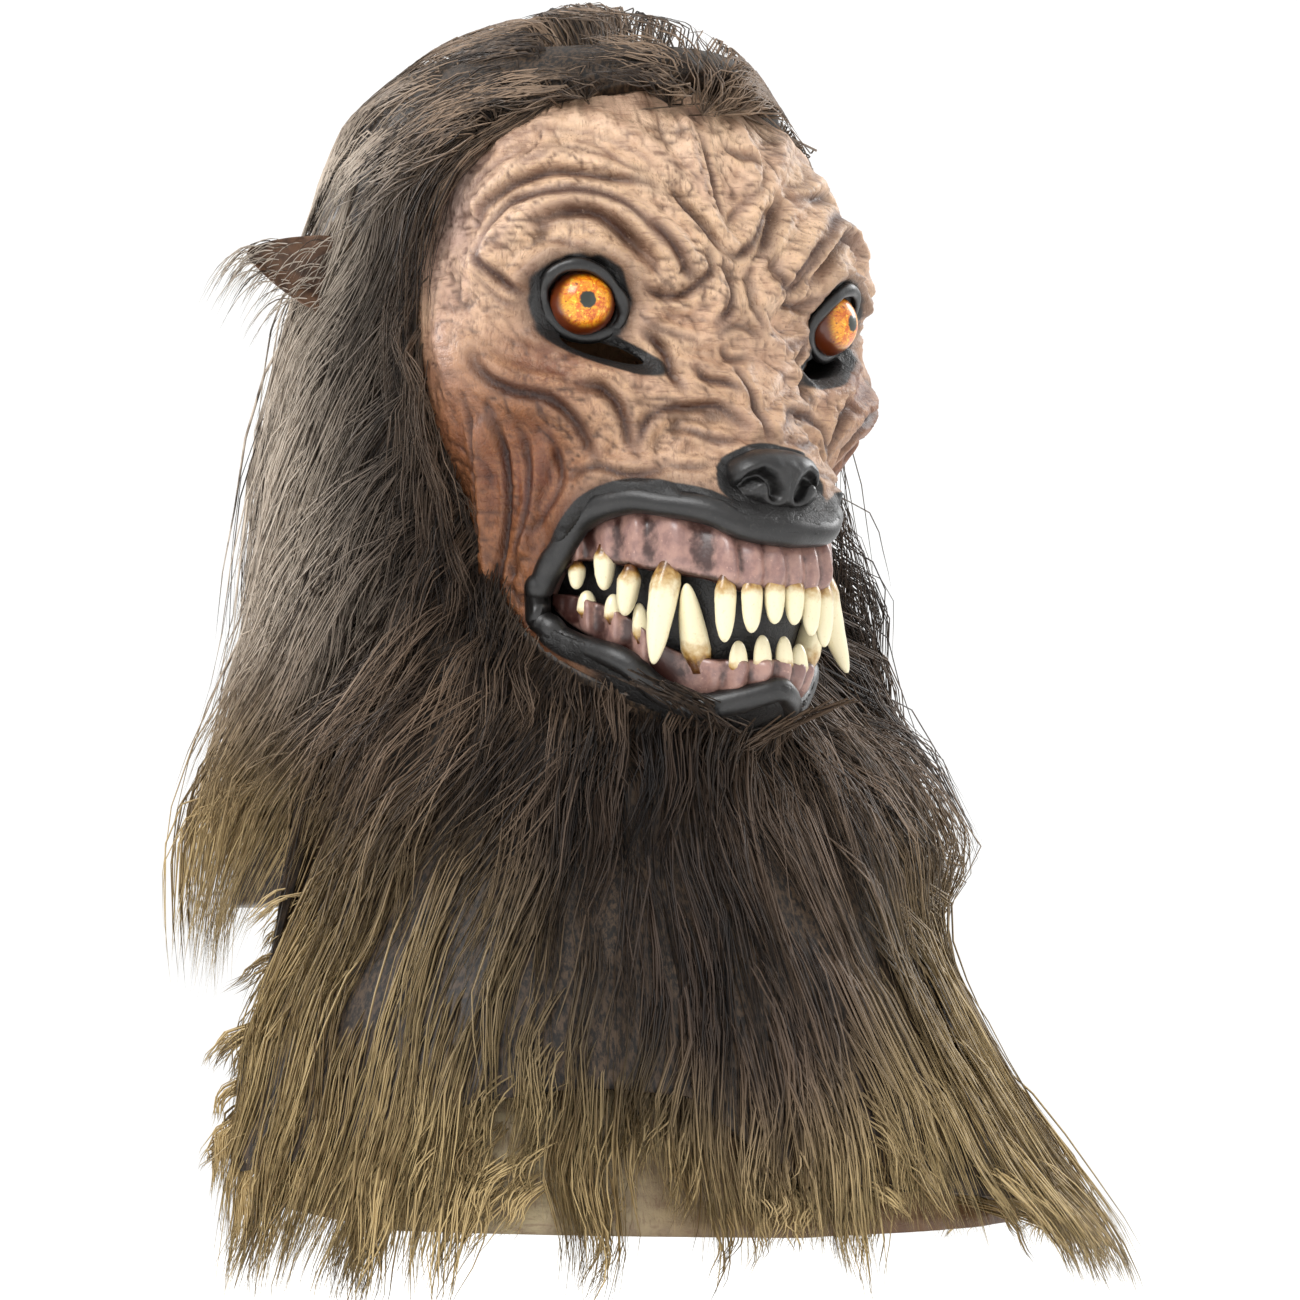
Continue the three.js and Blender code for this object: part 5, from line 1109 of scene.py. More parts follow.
FUR_HEM = np.array([
    [-180, 1.12], [-150, 1.11], [-141, 1.22], [-130, 1.41], [-114, 1.4], [-107, 1.13], [-97, 1.13], [-90, 1.82],
    [-70, 1.84], [-45, 1.82], [-20, 1.76], [0, 1.84], [20, 1.83], [45, 1.85], [62, 1.86], [80, 1.72], [94, 1.25],
    [120, 1.17], [150, 1.12], [180, 1.12],
])
HAIRLINE = np.array([  # level, and the azimuth where hair begins there
    [0.05, 0], [0.068, 30], [0.09, 56], [0.14, 70], [0.21, 79], [0.3, 82], [0.42, 81], [0.55, 77], [0.68, 72],
    [0.78, 66], [0.86, 57], [0.92, 42], [0.965, 27], [1.0, 12], [1.015, 0],
])
JAW_EDGE = HAIRLINE[:5:-1, ::-1]  # the same line's lower part, as a level for each azimuth
fur_azimuths = np.arange(-180.0, 181.0, 45.0)
fur_radii = np.concatenate([FUR_SECTIONS[:, 1:], FUR_SECTIONS[:, 1:2]], axis=1) * FUR_REACH


def wrap(azimuth):
    """The same direction as an azimuth from -180 to 180 degrees."""
    return (azimuth + 180) % 360 - 180


def fur_radius(azimuth, z):
    """The coat's radius; above the crown the levels are stretched to the crest's height."""
    azimuth, z = np.broadcast_arrays(wrap(azimuth), z)
    level = np.where(z > WALL, (WALL - z) * -FUR_SECTIONS[0, 0] / FUR_RISE, (WALL - z) / FACE_DROP)
    flat = stacked(fur_azimuths, fur_radii, FUR_SECTIONS[:, 0], azimuth.ravel(), level.ravel())
    return flat.reshape(azimuth.shape)


def ear_parting(azimuth, z):
    """1 in front of each ear, where the hair lies close to the skull and leaves the ear's hollow open; 0 elsewhere."""
    return np.exp(-((np.abs(wrap(azimuth)) - 101) / 13) ** 2 - ((z - EAR_Z - 4) / 24) ** 2)


def fur_hem(azimuth):
    """Height of the coat's lower edge."""
    return level_z(np.interp(wrap(azimuth), FUR_HEM[:, 0], FUR_HEM[:, 1]))


def hairline(z):
    """Azimuth where the hair begins at a height, the same on both sides."""
    return np.interp((WALL - z) / FACE_DROP, HAIRLINE[:, 0], HAIRLINE[:, 1], left=0, right=0)


print("coat at the nape", fur_radius(180.0, -150.0).round(), "mm from the axis")

# %% [markdown]
# ## A backing under the strands
# Between the glued rows of hair no white may show through. So under the strands lies a backing: one shell that wraps
# the head from one edge of the face round the back to the other, and closes in front above the brow and on the chest.
# It is near black with dark brown streaks: painted shade, as the depth of the hair looks.

# %% The backing
BACKING_SHARE = 0.6  # how far out it lies, from the form to the coat
BACKING_LIFT, FRONT_LIFT = 36.0, 34.0  # the strands hang this far below it, and so much more where the bib shows
BACKING_GAP, INNER_GAP = 2.2, 0.8  # its two faces' least height over the form
BACKING_ROWS, BACKING_COLUMNS = 72, 72
share = np.linspace(0, 1, BACKING_ROWS)[:, None]
round_share = np.linspace(0, 1, BACKING_COLUMNS)[None, :]
top_z = WALL - 1.0
first_turn = np.broadcast_to(round_share * 360, (BACKING_ROWS, BACKING_COLUMNS))
bottom = fur_hem(first_turn) + BACKING_LIFT + FRONT_LIFT * np.exp(-((wrap(first_turn) + 45) / 32) ** 2)
backing_z = top_z + (bottom - top_z) * share**1.15
edge = hairline(backing_z)
turn = edge + (360 - 2 * edge) * round_share
from_edge = np.minimum(turn - edge, 360 - edge - turn)
bare = form_radius(wrap(turn), backing_z)
coat = np.maximum(fur_radius(turn, backing_z), bare + 4)
open_face = smoothstep(edge, 0, 12)
thick = BACKING_SHARE * (1 - open_face * (1 - smoothstep(from_edge, 0, 26)))
under_chin = level_z(np.interp(np.abs(wrap(turn)), JAW_EDGE[:, 0], JAW_EDGE[:, 1])) - backing_z
thick = thick * np.where(np.abs(wrap(turn)) < 80, smoothstep(np.abs(under_chin), 0, 38), 1)
thick = thick * (1 - 0.8 * ear_parting(turn, backing_z))
outer = bare + BACKING_GAP + (coat - bare - BACKING_GAP) * thick
tuck = 3.0 * (patchy(turn * 1.9, backing_z * 0.35, 8, 61) - 0.3)
crown_lift = 9.0 * np.clip(1 - share * 12, 0, 1)
outer_points = polar(outer + tuck * thick, turn, backing_z + crown_lift)
inner_points = polar(bare + INNER_GAP, turn, backing_z)
outer_points[0] = polar(1.5, turn[0], WALL + 10.0)  # the first row meets over the crown
inner_points[0] = polar(1.0, turn[0], WALL + 0.5)
backing = shell_piece("hair_backing", outer_points, inner_points)
settle(backing, "hair", "crown_fur", "mane_fur", "chest_fur")

# %% [markdown]
# ## Strands
# Every hair is a thin tapered tube with three sides. A strand's path runs in azimuth and height, from a root on the
# casting out to the coat and down along it, so it follows the head by itself. Strands share a lock: near the root
# they spread over it, towards the tip they draw together. All of them are swept aside by one slow drift that depends
# on the place alone, so neighbouring locks bend together as combed hair does.


# %% Strand meshes
STRAND_POINTS = 7


def strand_mesh(name, path, width, marks):
    """Three-sided tubes along paths (strands, points, 3), closed by a face at the root and a point at the tip."""
    count, points = path.shape[:2]
    along = unit(np.gradient(path, axis=1))
    side = unit(np.cross(along, path * [1, 1, 0]))
    normal = np.cross(side, along)
    k = 2 * np.pi * np.arange(3) / 3
    ring = (path[:, :-1, None] + width[:, :-1, None, None]
            * (np.cos(k)[:, None] * side[:, :-1, None] + np.sin(k)[:, None] * normal[:, :-1, None]))
    each = (points - 1) * 3 + 1
    corners = np.concatenate([ring.reshape(count, -1, 3), path[:, -1:]], axis=1).reshape(-1, 3)
    quads = grid_faces(points - 1, 3)
    tip = np.array([[(points - 2) * 3 + j, (points - 2) * 3 + (j + 1) % 3, each - 1] for j in range(3)])
    cap = np.array([[2, 1, 0]])
    first = (np.arange(count) * each)[:, None, None]
    spread = lambda faces: (faces[None] + first).reshape(-1, faces.shape[1])
    at_points = lambda v: np.concatenate([np.repeat(v[:, :-1], 3, axis=1), v[:, -1:]], axis=1)
    marks = {mark: at_points(np.broadcast_to(v, (count, points))) for mark, v in marks.items()}
    return make_piece(name, corners, [spread(quads), spread(np.concatenate([cap, tip]))], marks)


# %% How strands lie
STRAND_HEM = np.array([  # the strands' own hem is more ragged than the solid's
    [-180, 1.12], [-150, 1.11], [-141, 1.22], [-130, 1.41], [-114, 1.4], [-107, 1.13], [-98, 1.13], [-91, 1.84],
    [-61, 1.86], [-59, 1.72], [-58, 1.86], [-53, 1.86], [-52, 1.66], [-41, 1.66], [-40, 1.86], [-31, 1.86],
    [-29, 1.68], [-25, 1.7], [-18, 1.85], [-8, 1.76], [2, 1.78], [8, 1.86], [11, 1.74], [30, 1.78], [45, 1.84],
    [62, 1.87], [80, 1.74], [94, 1.25], [120, 1.17], [150, 1.12], [180, 1.12],
])


def drift(azimuth, z):
    """Millimetres that hair is swept aside at a place: two sizes of smooth noise over azimuth and height."""
    along = 1.9 * azimuth
    return 17 * (patchy(along + 500, z, 52, 63) - 0.5) + 6 * (patchy(along + 500, z, 24, 64) - 0.5)


FAR_PUFF = 20.0  # how far the hair behind the far cheek stands out over the coat
ROOT_GAP, LONGEST_PAST_COAT = 1.0, 4.0


def off_face(turn, z, overlap=0.0):
    """An azimuth turned out to the hairline, less an overlap, where hair would fall over the face."""
    turn = wrap(turn)
    edge = np.where(z < level_z(0.1), np.maximum(hairline(z) - overlap, 0), 0)
    return np.where(np.abs(turn) < edge, np.sign(turn) * edge, turn)


def comb(rng, root_azimuth, root_z, sweep, fall, lock_size, spread=6.0, lift=(0.6, 1.0), wave=2.4, stray=0.06):
    """Paths from roots: azimuth grows by sweep and height drops by fall, in locks of lock_size strands."""
    locks = len(root_azimuth)
    lock = np.repeat(np.arange(locks), lock_size)
    count = len(lock)
    s = np.linspace(0, 1, STRAND_POINTS)
    part = lambda low, high: rng.uniform(low, high, count)[:, None]
    loose = (rng.random(count) < stray)[:, None]
    # Down and round, and no lower than the ragged hem.
    length = (fall * rng.uniform(0.8, 1.15, locks))[lock][:, None] * part(0.72, 1.12)
    z = root_z[lock][:, None] - length * s**1.12
    turn = root_azimuth[lock][:, None] + sweep[lock][:, None] * part(0.75, 1.25) * s**0.9
    low = level_z(np.interp(wrap(turn[:, -1:]), STRAND_HEM[:, 0], STRAND_HEM[:, 1])) + part(-4, 22)
    squeeze = np.minimum(1, (root_z[lock][:, None] - low) / np.maximum(root_z[lock][:, None] - z[:, -1:], 1))
    z = root_z[lock][:, None] + (z - root_z[lock][:, None]) * np.clip(squeeze, 0.15, 1)
    # Out from the form to a share of the coat, which is puffed up behind the far cheek.
    bare = form_radius(wrap(turn), z)
    puff = FAR_PUFF * np.exp(-((wrap(turn) - 72) / 30) ** 2 - ((z - level_z(0.8)) / 75) ** 2)
    coat = np.maximum(fur_radius(turn, z), bare + 5) + puff
    depth = (lift[0] + (lift[1] - lift[0]) * rng.random(locks))[lock][:, None] * part(0.8, 1.04)
    depth = np.where(loose, np.minimum(depth * 1.15, 1.08), depth)
    depth = depth * (1 - 0.7 * ear_parting(turn, z))
    radius = bare + ROOT_GAP + (coat - bare - ROOT_GAP) * depth * smoothstep(s, -0.08, 0.42)
    # Sideways in the lock, closer towards the tip, with the lock's wave, the strand's frizz and the slow drift.
    draw = (1 - 0.66 * s**1.3) * np.where(loose, 2.2, 1.0)
    a, b = part(-1, 1), part(-1, 1)
    phase, period = rng.uniform(0, 6.28, locks)[lock][:, None], rng.uniform(0.6, 1.5, locks)[lock][:, None]
    bend = wave * np.sin(2 * np.pi * period * s + phase) * s**0.5
    frizz = 1.6 * np.sin(2 * np.pi * part(0.5, 1.4) * s + part(0, 6.28)) * s
    sideways = spread * a * draw + bend + frizz + drift(turn, z) * smoothstep(s, 0, 0.6)
    radius = radius + 0.35 * spread * b * draw * s**0.3 + 0.6 * wave * np.cos(2 * np.pi * period * s + phase) * s
    radius = np.clip(radius, bare + 0.6, coat + LONGEST_PAST_COAT)
    z = z + 0.5 * spread * part(-1, 1) * (1 - s)
    path = polar(radius, off_face(turn + np.degrees(sideways / radius), z, part(0, 10)), z)
    return path, lock


def zones(path):
    """Where a strand hangs says its colour: gold dye towards the hem and silver at the sides; painted shade makes it
    near black on the chest under the jaw and dark beside the face.
    """
    azimuth, z = np.degrees(np.arctan2(path[..., 0], -path[..., 1])), path[..., 2]
    middle = np.exp(-(((azimuth + 6) / 30) ** 2))
    wing = smoothstep(np.abs(azimuth), 80, 110)
    gold = smoothstep(-z, 270 + 120 * middle - 45 * wing, 380 + 90 * middle - 55 * wing)
    # Painted shade: the hair is darkened on the chest under the jaw and in a band beside the face.
    chest = np.exp(-(((azimuth + 20) / 44) ** 2)) * smoothstep(-z, 235, 275) * (1 - smoothstep(-z, 370, 450))
    by_face = np.exp(-(((np.abs(azimuth) - hairline(z) - 10) / 20) ** 2)) * smoothstep(-z, 20, 70) * (
        1 - smoothstep(-z, 260, 300))
    dark = np.maximum(chest, 0.8 * by_face)
    silver = smoothstep(np.abs(azimuth), 72, 108) * (1 - smoothstep(-z, 200, 290)) * smoothstep(-z, -20, 60) * (
        1 - 0.7 * smoothstep(np.abs(azimuth), 120, 160))
    return {"gold": gold, "dark": dark, "silver": silver}


def grow(name, combs, widths, rng):
    """A piece of hair from several combs' paths and locks; a strand's shade is mostly its lock's."""
    path = np.concatenate([p for p, _ in combs])
    tone = np.concatenate([
        0.65 * rng.random(lock.max() + 1)[lock] + 0.35 * rng.random(len(lock)) for _, lock in combs])
    width = np.concatenate([rng.uniform(*limits, len(p)) for limits, (p, _) in zip(widths, combs)])
    s = np.linspace(0, 1, STRAND_POINTS)
    taper = (0.75 + 0.25 * smoothstep(s, 0, 0.15)) * (1 - s**2.4) + 0.03
    marks = {"tone": tone[:, None], **zones(path)}
    return settle(strand_mesh(name, path, width[:, None] * taper / 2, marks), "hair")


# %% [markdown]
# ## The mane
# Most of the mask's width is the mane: long hair from the temples, cheeks and skull that falls past the jaw. It could
# be a particle system, but that leaves no mesh behind for an export. So each side gets three combs of strands: a
# body, fine hair along the edge of the face, and short hair beside the jaw. A plainer comb covers the nape.

# %% Mane: roots on the skull, outside the face, on both sides
LOCK, FRINGE_LOCK, JAW_LOCK, HEM_LOCK = 16, 10, 14, 13  # strands in a lock
FRINGE_LOCKS = 66
MANE_SIDES = [  # name, side, locks on the skull, locks beside the jaw, seed
    ("right", -1, 215, 52, 71),
    ("left", 1, 140, 74, 72),
]
hair_pieces = []
for label, side, locks, jaw, seed in MANE_SIDES:
    rng = np.random.default_rng(seed)
    z = level_z(rng.uniform(0.06, 1.02, locks))
    edge = np.maximum(hairline(z), 18)
    near = rng.random(locks) ** 1.35
    azimuth = edge + 2 + (150 - edge) * near
    sweep = (34 - 26 * near) * rng.uniform(0.6, 1.3, locks)
    body = comb(rng, side * azimuth, z, side * sweep, 70 + 95 * rng.random(locks) + 40 * near, LOCK,
                lift=(0.62, 1.02))
    # Fine hair along the edge of the face.
    z = level_z(np.linspace(0.075, 0.93, FRINGE_LOCKS) + rng.uniform(-0.01, 0.01, FRINGE_LOCKS))
    edge_hair = comb(rng, side * (hairline(z) + 1), z, side * rng.uniform(-8, 24, FRINGE_LOCKS),
                     rng.uniform(40, 90, FRINGE_LOCKS), FRINGE_LOCK, spread=4, lift=(0.25, 0.8))
    # Beside the jaw the hair starts close to the mouth's corner.
    z = level_z(rng.uniform(0.56, 1.02, jaw))
    azimuth = hairline(z) + rng.uniform(1, 24, jaw)
    jaw_hair = comb(rng, side * azimuth, z, side * rng.uniform(2, 16, jaw), rng.uniform(50, 130, jaw), JAW_LOCK,
                    lift=(0.45, 1.0))
    widths = [(0.4, 0.95), (0.35, 0.65), (0.4, 0.8)]
    hair_pieces.append(grow("mane_hair_" + label, [body, edge_hair, jaw_hair], widths, rng))

# %% Mane behind: the nape, with short roots up to the crown
rng = np.random.default_rng(73)
locks = 90
body = comb(rng, rng.uniform(128, 232, locks), level_z(rng.uniform(0.08, 0.95, locks)), rng.uniform(-8, 8, locks),
            rng.uniform(80, 170, locks), LOCK, spread=11)
hair_pieces.append(grow("mane_hair_back", [body], [(0.8, 1.5)], rng))

# %% [markdown]
# ## Chest hair
# The bib is covered from under the jaw to below its hem. The same comb makes it, with roots spread over throat and bib.
# A short row hides where the hair starts under the jaw, and thin locks set low down make the ragged hem.

# %% Chest: roots on throat and bib, tips down to the ragged hem
THROAT_LOCKS = 42  # a row close under the jaw, which covers the backing's upper edge
HEM_LOCKS = 32  # long thin locks that reach past the bib's hem
for label, side, locks, seed in (("right", -1, 190, 74), ("left", 1, 185, 75)):
    rng = np.random.default_rng(seed)
    azimuth = side * rng.uniform(-3, 94, locks)
    z = level_z(0.93 + 0.8 * rng.random(locks) ** 0.85)
    z = np.minimum(z, level_z(np.interp(hairline(z), [0, 60], [0.99, 0.93])))
    sweep = side * (2 + 8 * np.abs(azimuth) / 90 * rng.random(locks))
    body = comb(rng, azimuth, z, sweep, rng.uniform(80, 165, locks), LOCK, spread=7)
    azimuth = rng.uniform(-4, 68, THROAT_LOCKS)
    z = level_z(np.interp(azimuth, JAW_EDGE[:, 0], JAW_EDGE[:, 1])) - rng.uniform(-2, 16, THROAT_LOCKS)
    throat_hair = comb(rng, side * azimuth, z, side * rng.uniform(-2, 9, THROAT_LOCKS),
                       rng.uniform(45, 110, THROAT_LOCKS), LOCK, lift=(0.35, 0.9))
    gap = (-22, 50) if side > 0 else (60, 92)  # azimuths where the bib would show most
    azimuth = np.concatenate([rng.uniform(0, 80, HEM_LOCKS // 2), rng.uniform(*gap, HEM_LOCKS // 2)])
    z = level_z(rng.uniform(1.38, 1.66, HEM_LOCKS))
    hem_hair = comb(rng, side * azimuth, z, side * rng.uniform(-2, 6, HEM_LOCKS), rng.uniform(60, 120, HEM_LOCKS),
                    HEM_LOCK, spread=6, lift=(0.5, 1.0))
    widths = [(0.45, 1.15), (0.4, 0.8), (0.4, 0.8)]
    hair_pieces.append(grow("chest_hair_" + label, [body, throat_hair, hem_hair], widths, rng))

# %% [markdown]
# ## The crest
# Over the crown the hair stands up in a soft dome, brushed back. Paths in azimuth and height would meet in a star on
# top of the head, so these strands are built in space instead: out along the form's normal, then back along a flow.

# %% Crest: roots over the crown, brushed up and back, and pressed inside the coat
CREST_CENTRE, CREST_TOP = np.array([0.0, 15.0, -60.0]), WALL + FUR_RISE + 1.5


def press_in(path):
    """Draws each point towards the skull's middle until it is inside the coat, by halving the step eight times."""
    low, high = np.full(path.shape[:2], 0.4), np.ones(path.shape[:2])
    for _ in range(8):
        share = (low + high) / 2
        p = CREST_CENTRE + (path - CREST_CENTRE) * share[..., None]
        reach = fur_radius(np.degrees(np.arctan2(p[..., 0], -p[..., 1])), p[..., 2]) + 1.5
        fits = (np.hypot(p[..., 0], p[..., 1]) < reach) & (p[..., 2] < CREST_TOP)
        low, high = np.where(fits, share, low), np.where(fits, high, share)
    return CREST_CENTRE + (path - CREST_CENTRE) * low[..., None]


rng = np.random.default_rng(76)
locks, top_locks = 150, 58  # the second stand on the flat top of the crown
azimuth = rng.uniform(-180, 180, locks)
depth = WALL - 0.3 - 46 * rng.random(locks) ** 1.5
front_edge = level_z(np.interp(np.abs(azimuth), [0, 20, 56, 75], [0.1, 0.07, 0.08, 0.17]))
depth = np.where(np.abs(azimuth) < 75, np.maximum(depth, front_edge), depth)
root = over_form(azimuth, depth, np.zeros(locks))
normal = unit(over_form(azimuth, depth, np.ones(locks)) - root)
azimuth = rng.uniform(-180, 180, top_locks)
top_root = polar(form_radius(azimuth, WALL - 0.6) * np.sqrt(rng.random(top_locks)), azimuth, WALL - 0.6)
root = np.concatenate([root, top_root])
normal = np.concatenate([normal, np.tile([0, 0, 1.0], (top_locks, 1))])
locks = locks + top_locks
aside = root[:, 0] / 70 + 0.8 * (patchy(root[:, 0] + 200, root[:, 1] + 200, 26, 65) - 0.5)
flow = np.stack([0.9 * aside, 0.8 + 0 * aside, -0.45 * np.abs(aside) - 0.3 * np.clip(root[:, 1], 0, 90) / 80], axis=1)
flow = unit(flow - normal * np.sum(flow * normal, axis=1, keepdims=True))
lock = np.repeat(np.arange(locks), LOCK)
count = len(lock)
s = np.linspace(0, 1, STRAND_POINTS)[None, :, None]
part = lambda low, high: rng.uniform(low, high, count)[:, None, None]
length = rng.uniform(22, 62, locks)[lock][:, None, None] * part(0.7, 1.2)
lift = rng.uniform(32, 62, locks)[lock][:, None, None] * part(0.7, 1.1)
scatter = rng.normal(0, 1, (count, 1, 3)) * 9.0 * (1 - 0.4 * s)
curl = np.cross(flow, normal)[lock][:, None] * 6 * np.sin(2 * np.pi * part(0.5, 1.2) * s + part(0, 6.28)) * s
path = (root[lock][:, None] + flow[lock][:, None] * length * s**1.4 + scatter * s**0.3 + curl
        + normal[lock][:, None] * lift * np.sin(0.62 * np.pi * s))
path = press_in(path)
turn = np.degrees(np.arctan2(path[..., 0], -path[..., 1]))
radius = np.hypot(path[..., 0], path[..., 1])
bare = form_radius(turn, np.minimum(path[..., 2], WALL - 0.5))
radius = np.where(path[..., 2] < WALL - 6, np.maximum(radius, bare + 2), radius)
path = polar(radius, off_face(turn, path[..., 2], rng.uniform(-2, 8, (count, 1))), path[..., 2])
hair_pieces.append(grow("crest_hair", [(path, lock)], [(0.5, 1.1)], rng))

# %% [markdown]
# ## Tufts on the ears
# Short hair is glued to each ear's back and rim and hides the latex edge. Its roots are places on the ear's own leaf,
# found with the ear's formula, so the tufts fit it. Each hair leaves outwards and droops with the square of its length.

# %% Tufts on the ears: short hair from the ear's whole back and rim, combed outwards and down
TUFT_HAIRS, TUFT_LOCK = 150, 10
for label, side, seed in (("right", -1, 77), ("left", 1, 78)):
    rng = np.random.default_rng(seed)
    count = TUFT_HAIRS
    v, u = rng.uniform(0.0, 0.95, (count, 1)), rng.uniform(-1, 1, (count, 1))
    s = np.linspace(0, 1, STRAND_POINTS)[None, :]
    radial, backwards = polar(1.0, side * EAR_AZIMUTH, 0.0), polar(1.0, side * (EAR_AZIMUTH + 90), 0.0)
    start = EAR_ROOT + EAR_LENGTH * v
    length = rng.uniform(14, 34, (count, 1))
    up = ear_outline(v) * u + EAR_RISE * v**1.5
    out = start + length * 0.7 * s
    height = EAR_Z + up + 3 * s - length * 0.75 * s**2.2 + rng.normal(0, 1.6, (count, 1)) * s
    behind = rng.choice([-5.0, 4.5], (count, 1)) + rng.normal(0, 4, (count, 1)) * s + EAR_CUP * (1 - u**2) * 0.5
    path = (out[..., None] * radial + behind[..., None] * backwards + height[..., None] * np.array([0, 0, 1.0]))
    lock = np.repeat(np.arange(count // TUFT_LOCK), TUFT_LOCK)
    hair_pieces.append(grow("ear_tuft_" + label, [(path, lock)], [(0.35, 0.7)], rng))
print("hair faces", sum(len(p.data.polygons) for p in hair_pieces))

# %% [markdown]
# ## Coats of paint
# A finish here is built as a painter builds it: one coat over another, each only where its masks let it through. A mask
# is noise in the piece's own space, or a number kept at the piece's points. One function lays a coat, so that each
# material below reads like a recipe, from the first coat to the last.


# %% One coat over another
def read(tree, value):
    """The number kept at each point, where value is its name; any other value is passed on."""
    return add(tree, "Attribute", attribute_name=value).outputs["Fac"] if isinstance(value, str) else value


def coat(tree, under, over, *masks, blend="MIX"):
    """Mixes the colour over into the colour under by the product of the masks.

    A mask is a number, a node's output, the name of a number kept at each point, or (value, low, high), which rises
    from 0 to 1 as 3t^2 - 2t^3 between low and high.
    """
    parts = []
    for mask in masks:
        if isinstance(mask, tuple):
            value, low, high = mask
            mask = add(tree, "MapRange", {"Value": read(tree, value), "From Min": low, "From Max": high},
                       interpolation_type="SMOOTHSTEP").outputs["Result"]
        parts.append(read(tree, mask))
    factor = parts[0]
    for part in parts[1:]:
        factor = add(tree, "Math", {0: factor, 1: part}, operation="MULTIPLY").outputs[0]
    under, over = [hex_colour(c) if isinstance(c, str) else c for c in (under, over)]
    return add(tree, "MixRGB", {"Fac": factor, "Color1": under, "Color2": over}, blend_type=blend).outputs["Color"]


def mottle(size_mm, detail=4.0, rough=0.55):
    """Settings of a noise whose blotches are about size_mm across; Object coordinates are in metres."""
    return {"Scale": 1 / (size_mm * MM), "Detail": detail, "Roughness": rough}


# %% [markdown]
# ## Painted latex
# The skin is slush-cast rubber, sponged and dry-brushed with rubber paint: a warm tan over everything, brown wash and
# painted shade in the grooves, pale flesh and a painted highlight on the ridges, painted shade low on the face and over
# the bib, black on lips, lids and nose. Latex has a soft sheen and an IOR near 1.52, and its cast surface is full of
# short fine lines, which are drawn about a millimetre wide so that they show.


# %% Painted latex
def painted_latex(name, black_everywhere=False):
    """Slush-cast rubber under rubber paint: soft sheen, brown wash and painted shade in grooves, pale ridges with a
    painted highlight, painted shade low on the face; IOR of latex 1.52.
    """
    material, tree, where = start_material(name)
    broad, blotch, fine = [
        add(tree, "TexNoise", {"Vector": where, **settings}).outputs["Fac"]
        for settings in (mottle(26), mottle(7, 5), mottle(1.4, 6, 0.65))]
    if black_everywhere:
        colour = coat(tree, "#0b0a0a", "#1b1918", (blotch, 0.35, 0.75))
        colour = coat(tree, colour, "#3b3833", (fine, 0.55, 0.8))
        rough, wax = 0.38, 0.12
        height = add(tree, "Math", {0: fine, 1: 0.5}, operation="MULTIPLY").outputs[0]
    else:
        bare_latex = coat(tree, "#a39674", "#86755a", (blotch, 0.3, 0.7))
        colour = coat(tree, "#debd9e", "#c9a58b", (broad, 0.35, 0.65))  # tan
        colour = coat(tree, colour, "#8e6448", (blotch, 0.45, 0.72), 0.6)  # sponged brown
        colour = coat(tree, colour, "#844622", "orange", (blotch, 0.2, 0.55))
        colour = coat(tree, colour, "#9c8482", "mauve", 0.7)
        # Dry-brushed flesh and a painted highlight on the ridges.
        colour = coat(tree, colour, "#dcb893", "ridge", (fine, 0.25, 0.7))  # dry-brushed flesh
        # Brown wash and painted shade in grooves, creases, hollows and round the eyes.
        colour = coat(tree, colour, "#442617", "groove", (fine, 0.1, 0.45))  # brown wash
        colour = coat(tree, colour, "#7b553a", (fine, 0.66, 0.8))  # specks
        colour = coat(tree, colour, bare_latex, "bib")
        # Painted shade, multiplied over the lower face and over the bib away from its bare patch.
        colour = coat(tree, colour, "#a07754", "shade", 0.95, blend="MULTIPLY")
        colour = coat(tree, colour, "#7d6248", "inside")
        colour = coat(tree, colour, "#0e0c0b", ("black", 0.28, 0.62))
        rough, wax = 0.5, 0.05
        crackle = add(tree, "TexVoronoi", {"Vector": where, "Scale": 1 / (2.6 * MM), "Randomness": 1.0},
                      feature="DISTANCE_TO_EDGE").outputs["Distance"]
        # Two sets of short parallel lines, one steep and one nearly level, each where its own blotches are.
        steep, level = [
            add(tree, "TexNoise", {
                "Vector": add(tree, "Mapping", {"Vector": where, "Rotation": (0.0, math.radians(turn), 0.0),
                                                "Scale": stretch}).outputs["Vector"], **mottle(size, 3)}).outputs["Fac"]
            for turn, stretch, size in ((20, (1.0, 1.0, 0.16), 1.1), (-35, (0.16, 0.16, 1.0), 1.3))]
        hatch = coat(tree, steep, level, (broad, 0.46, 0.56))
        colour = coat(tree, colour, "#5a3824", (hatch, 0.48, 0.34), 0.4)
        colour = coat(tree, colour, "#0e0c0b", ("black", 0.28, 0.62))
        cracks = add(tree, "MapRange", {"Value": crackle, "From Min": 0.0, "From Max": 0.16},
                     interpolation_type="SMOOTHSTEP").outputs["Result"]
        pores = add(tree, "Math", {0: cracks, 1: 0.3, 2: fine}, operation="MULTIPLY_ADD").outputs[0]
        height = add(tree, "Math", {0: hatch, 1: 0.9, 2: pores}, operation="MULTIPLY_ADD").outputs[0]
    bump = add(tree, "Bump", {"Height": height, "Strength": 0.55, "Distance": 0.6 * MM}).outputs["Normal"]
    shader = add(tree, "BsdfPrincipled", {"Base Color": colour, "Roughness": rough, "IOR": 1.52, "Coat Weight": wax,
                                          "Coat Roughness": 0.3, "Normal": bump})
    return finish_material(material, tree, shader)


skin_latex = painted_latex("painted_slush_latex")
black_latex = painted_latex("black_satin_latex", black_everywhere=True)
skin.data.materials.append(skin_latex)
for piece in (lips, nose, *lids):
    piece.data.materials.append(black_latex)

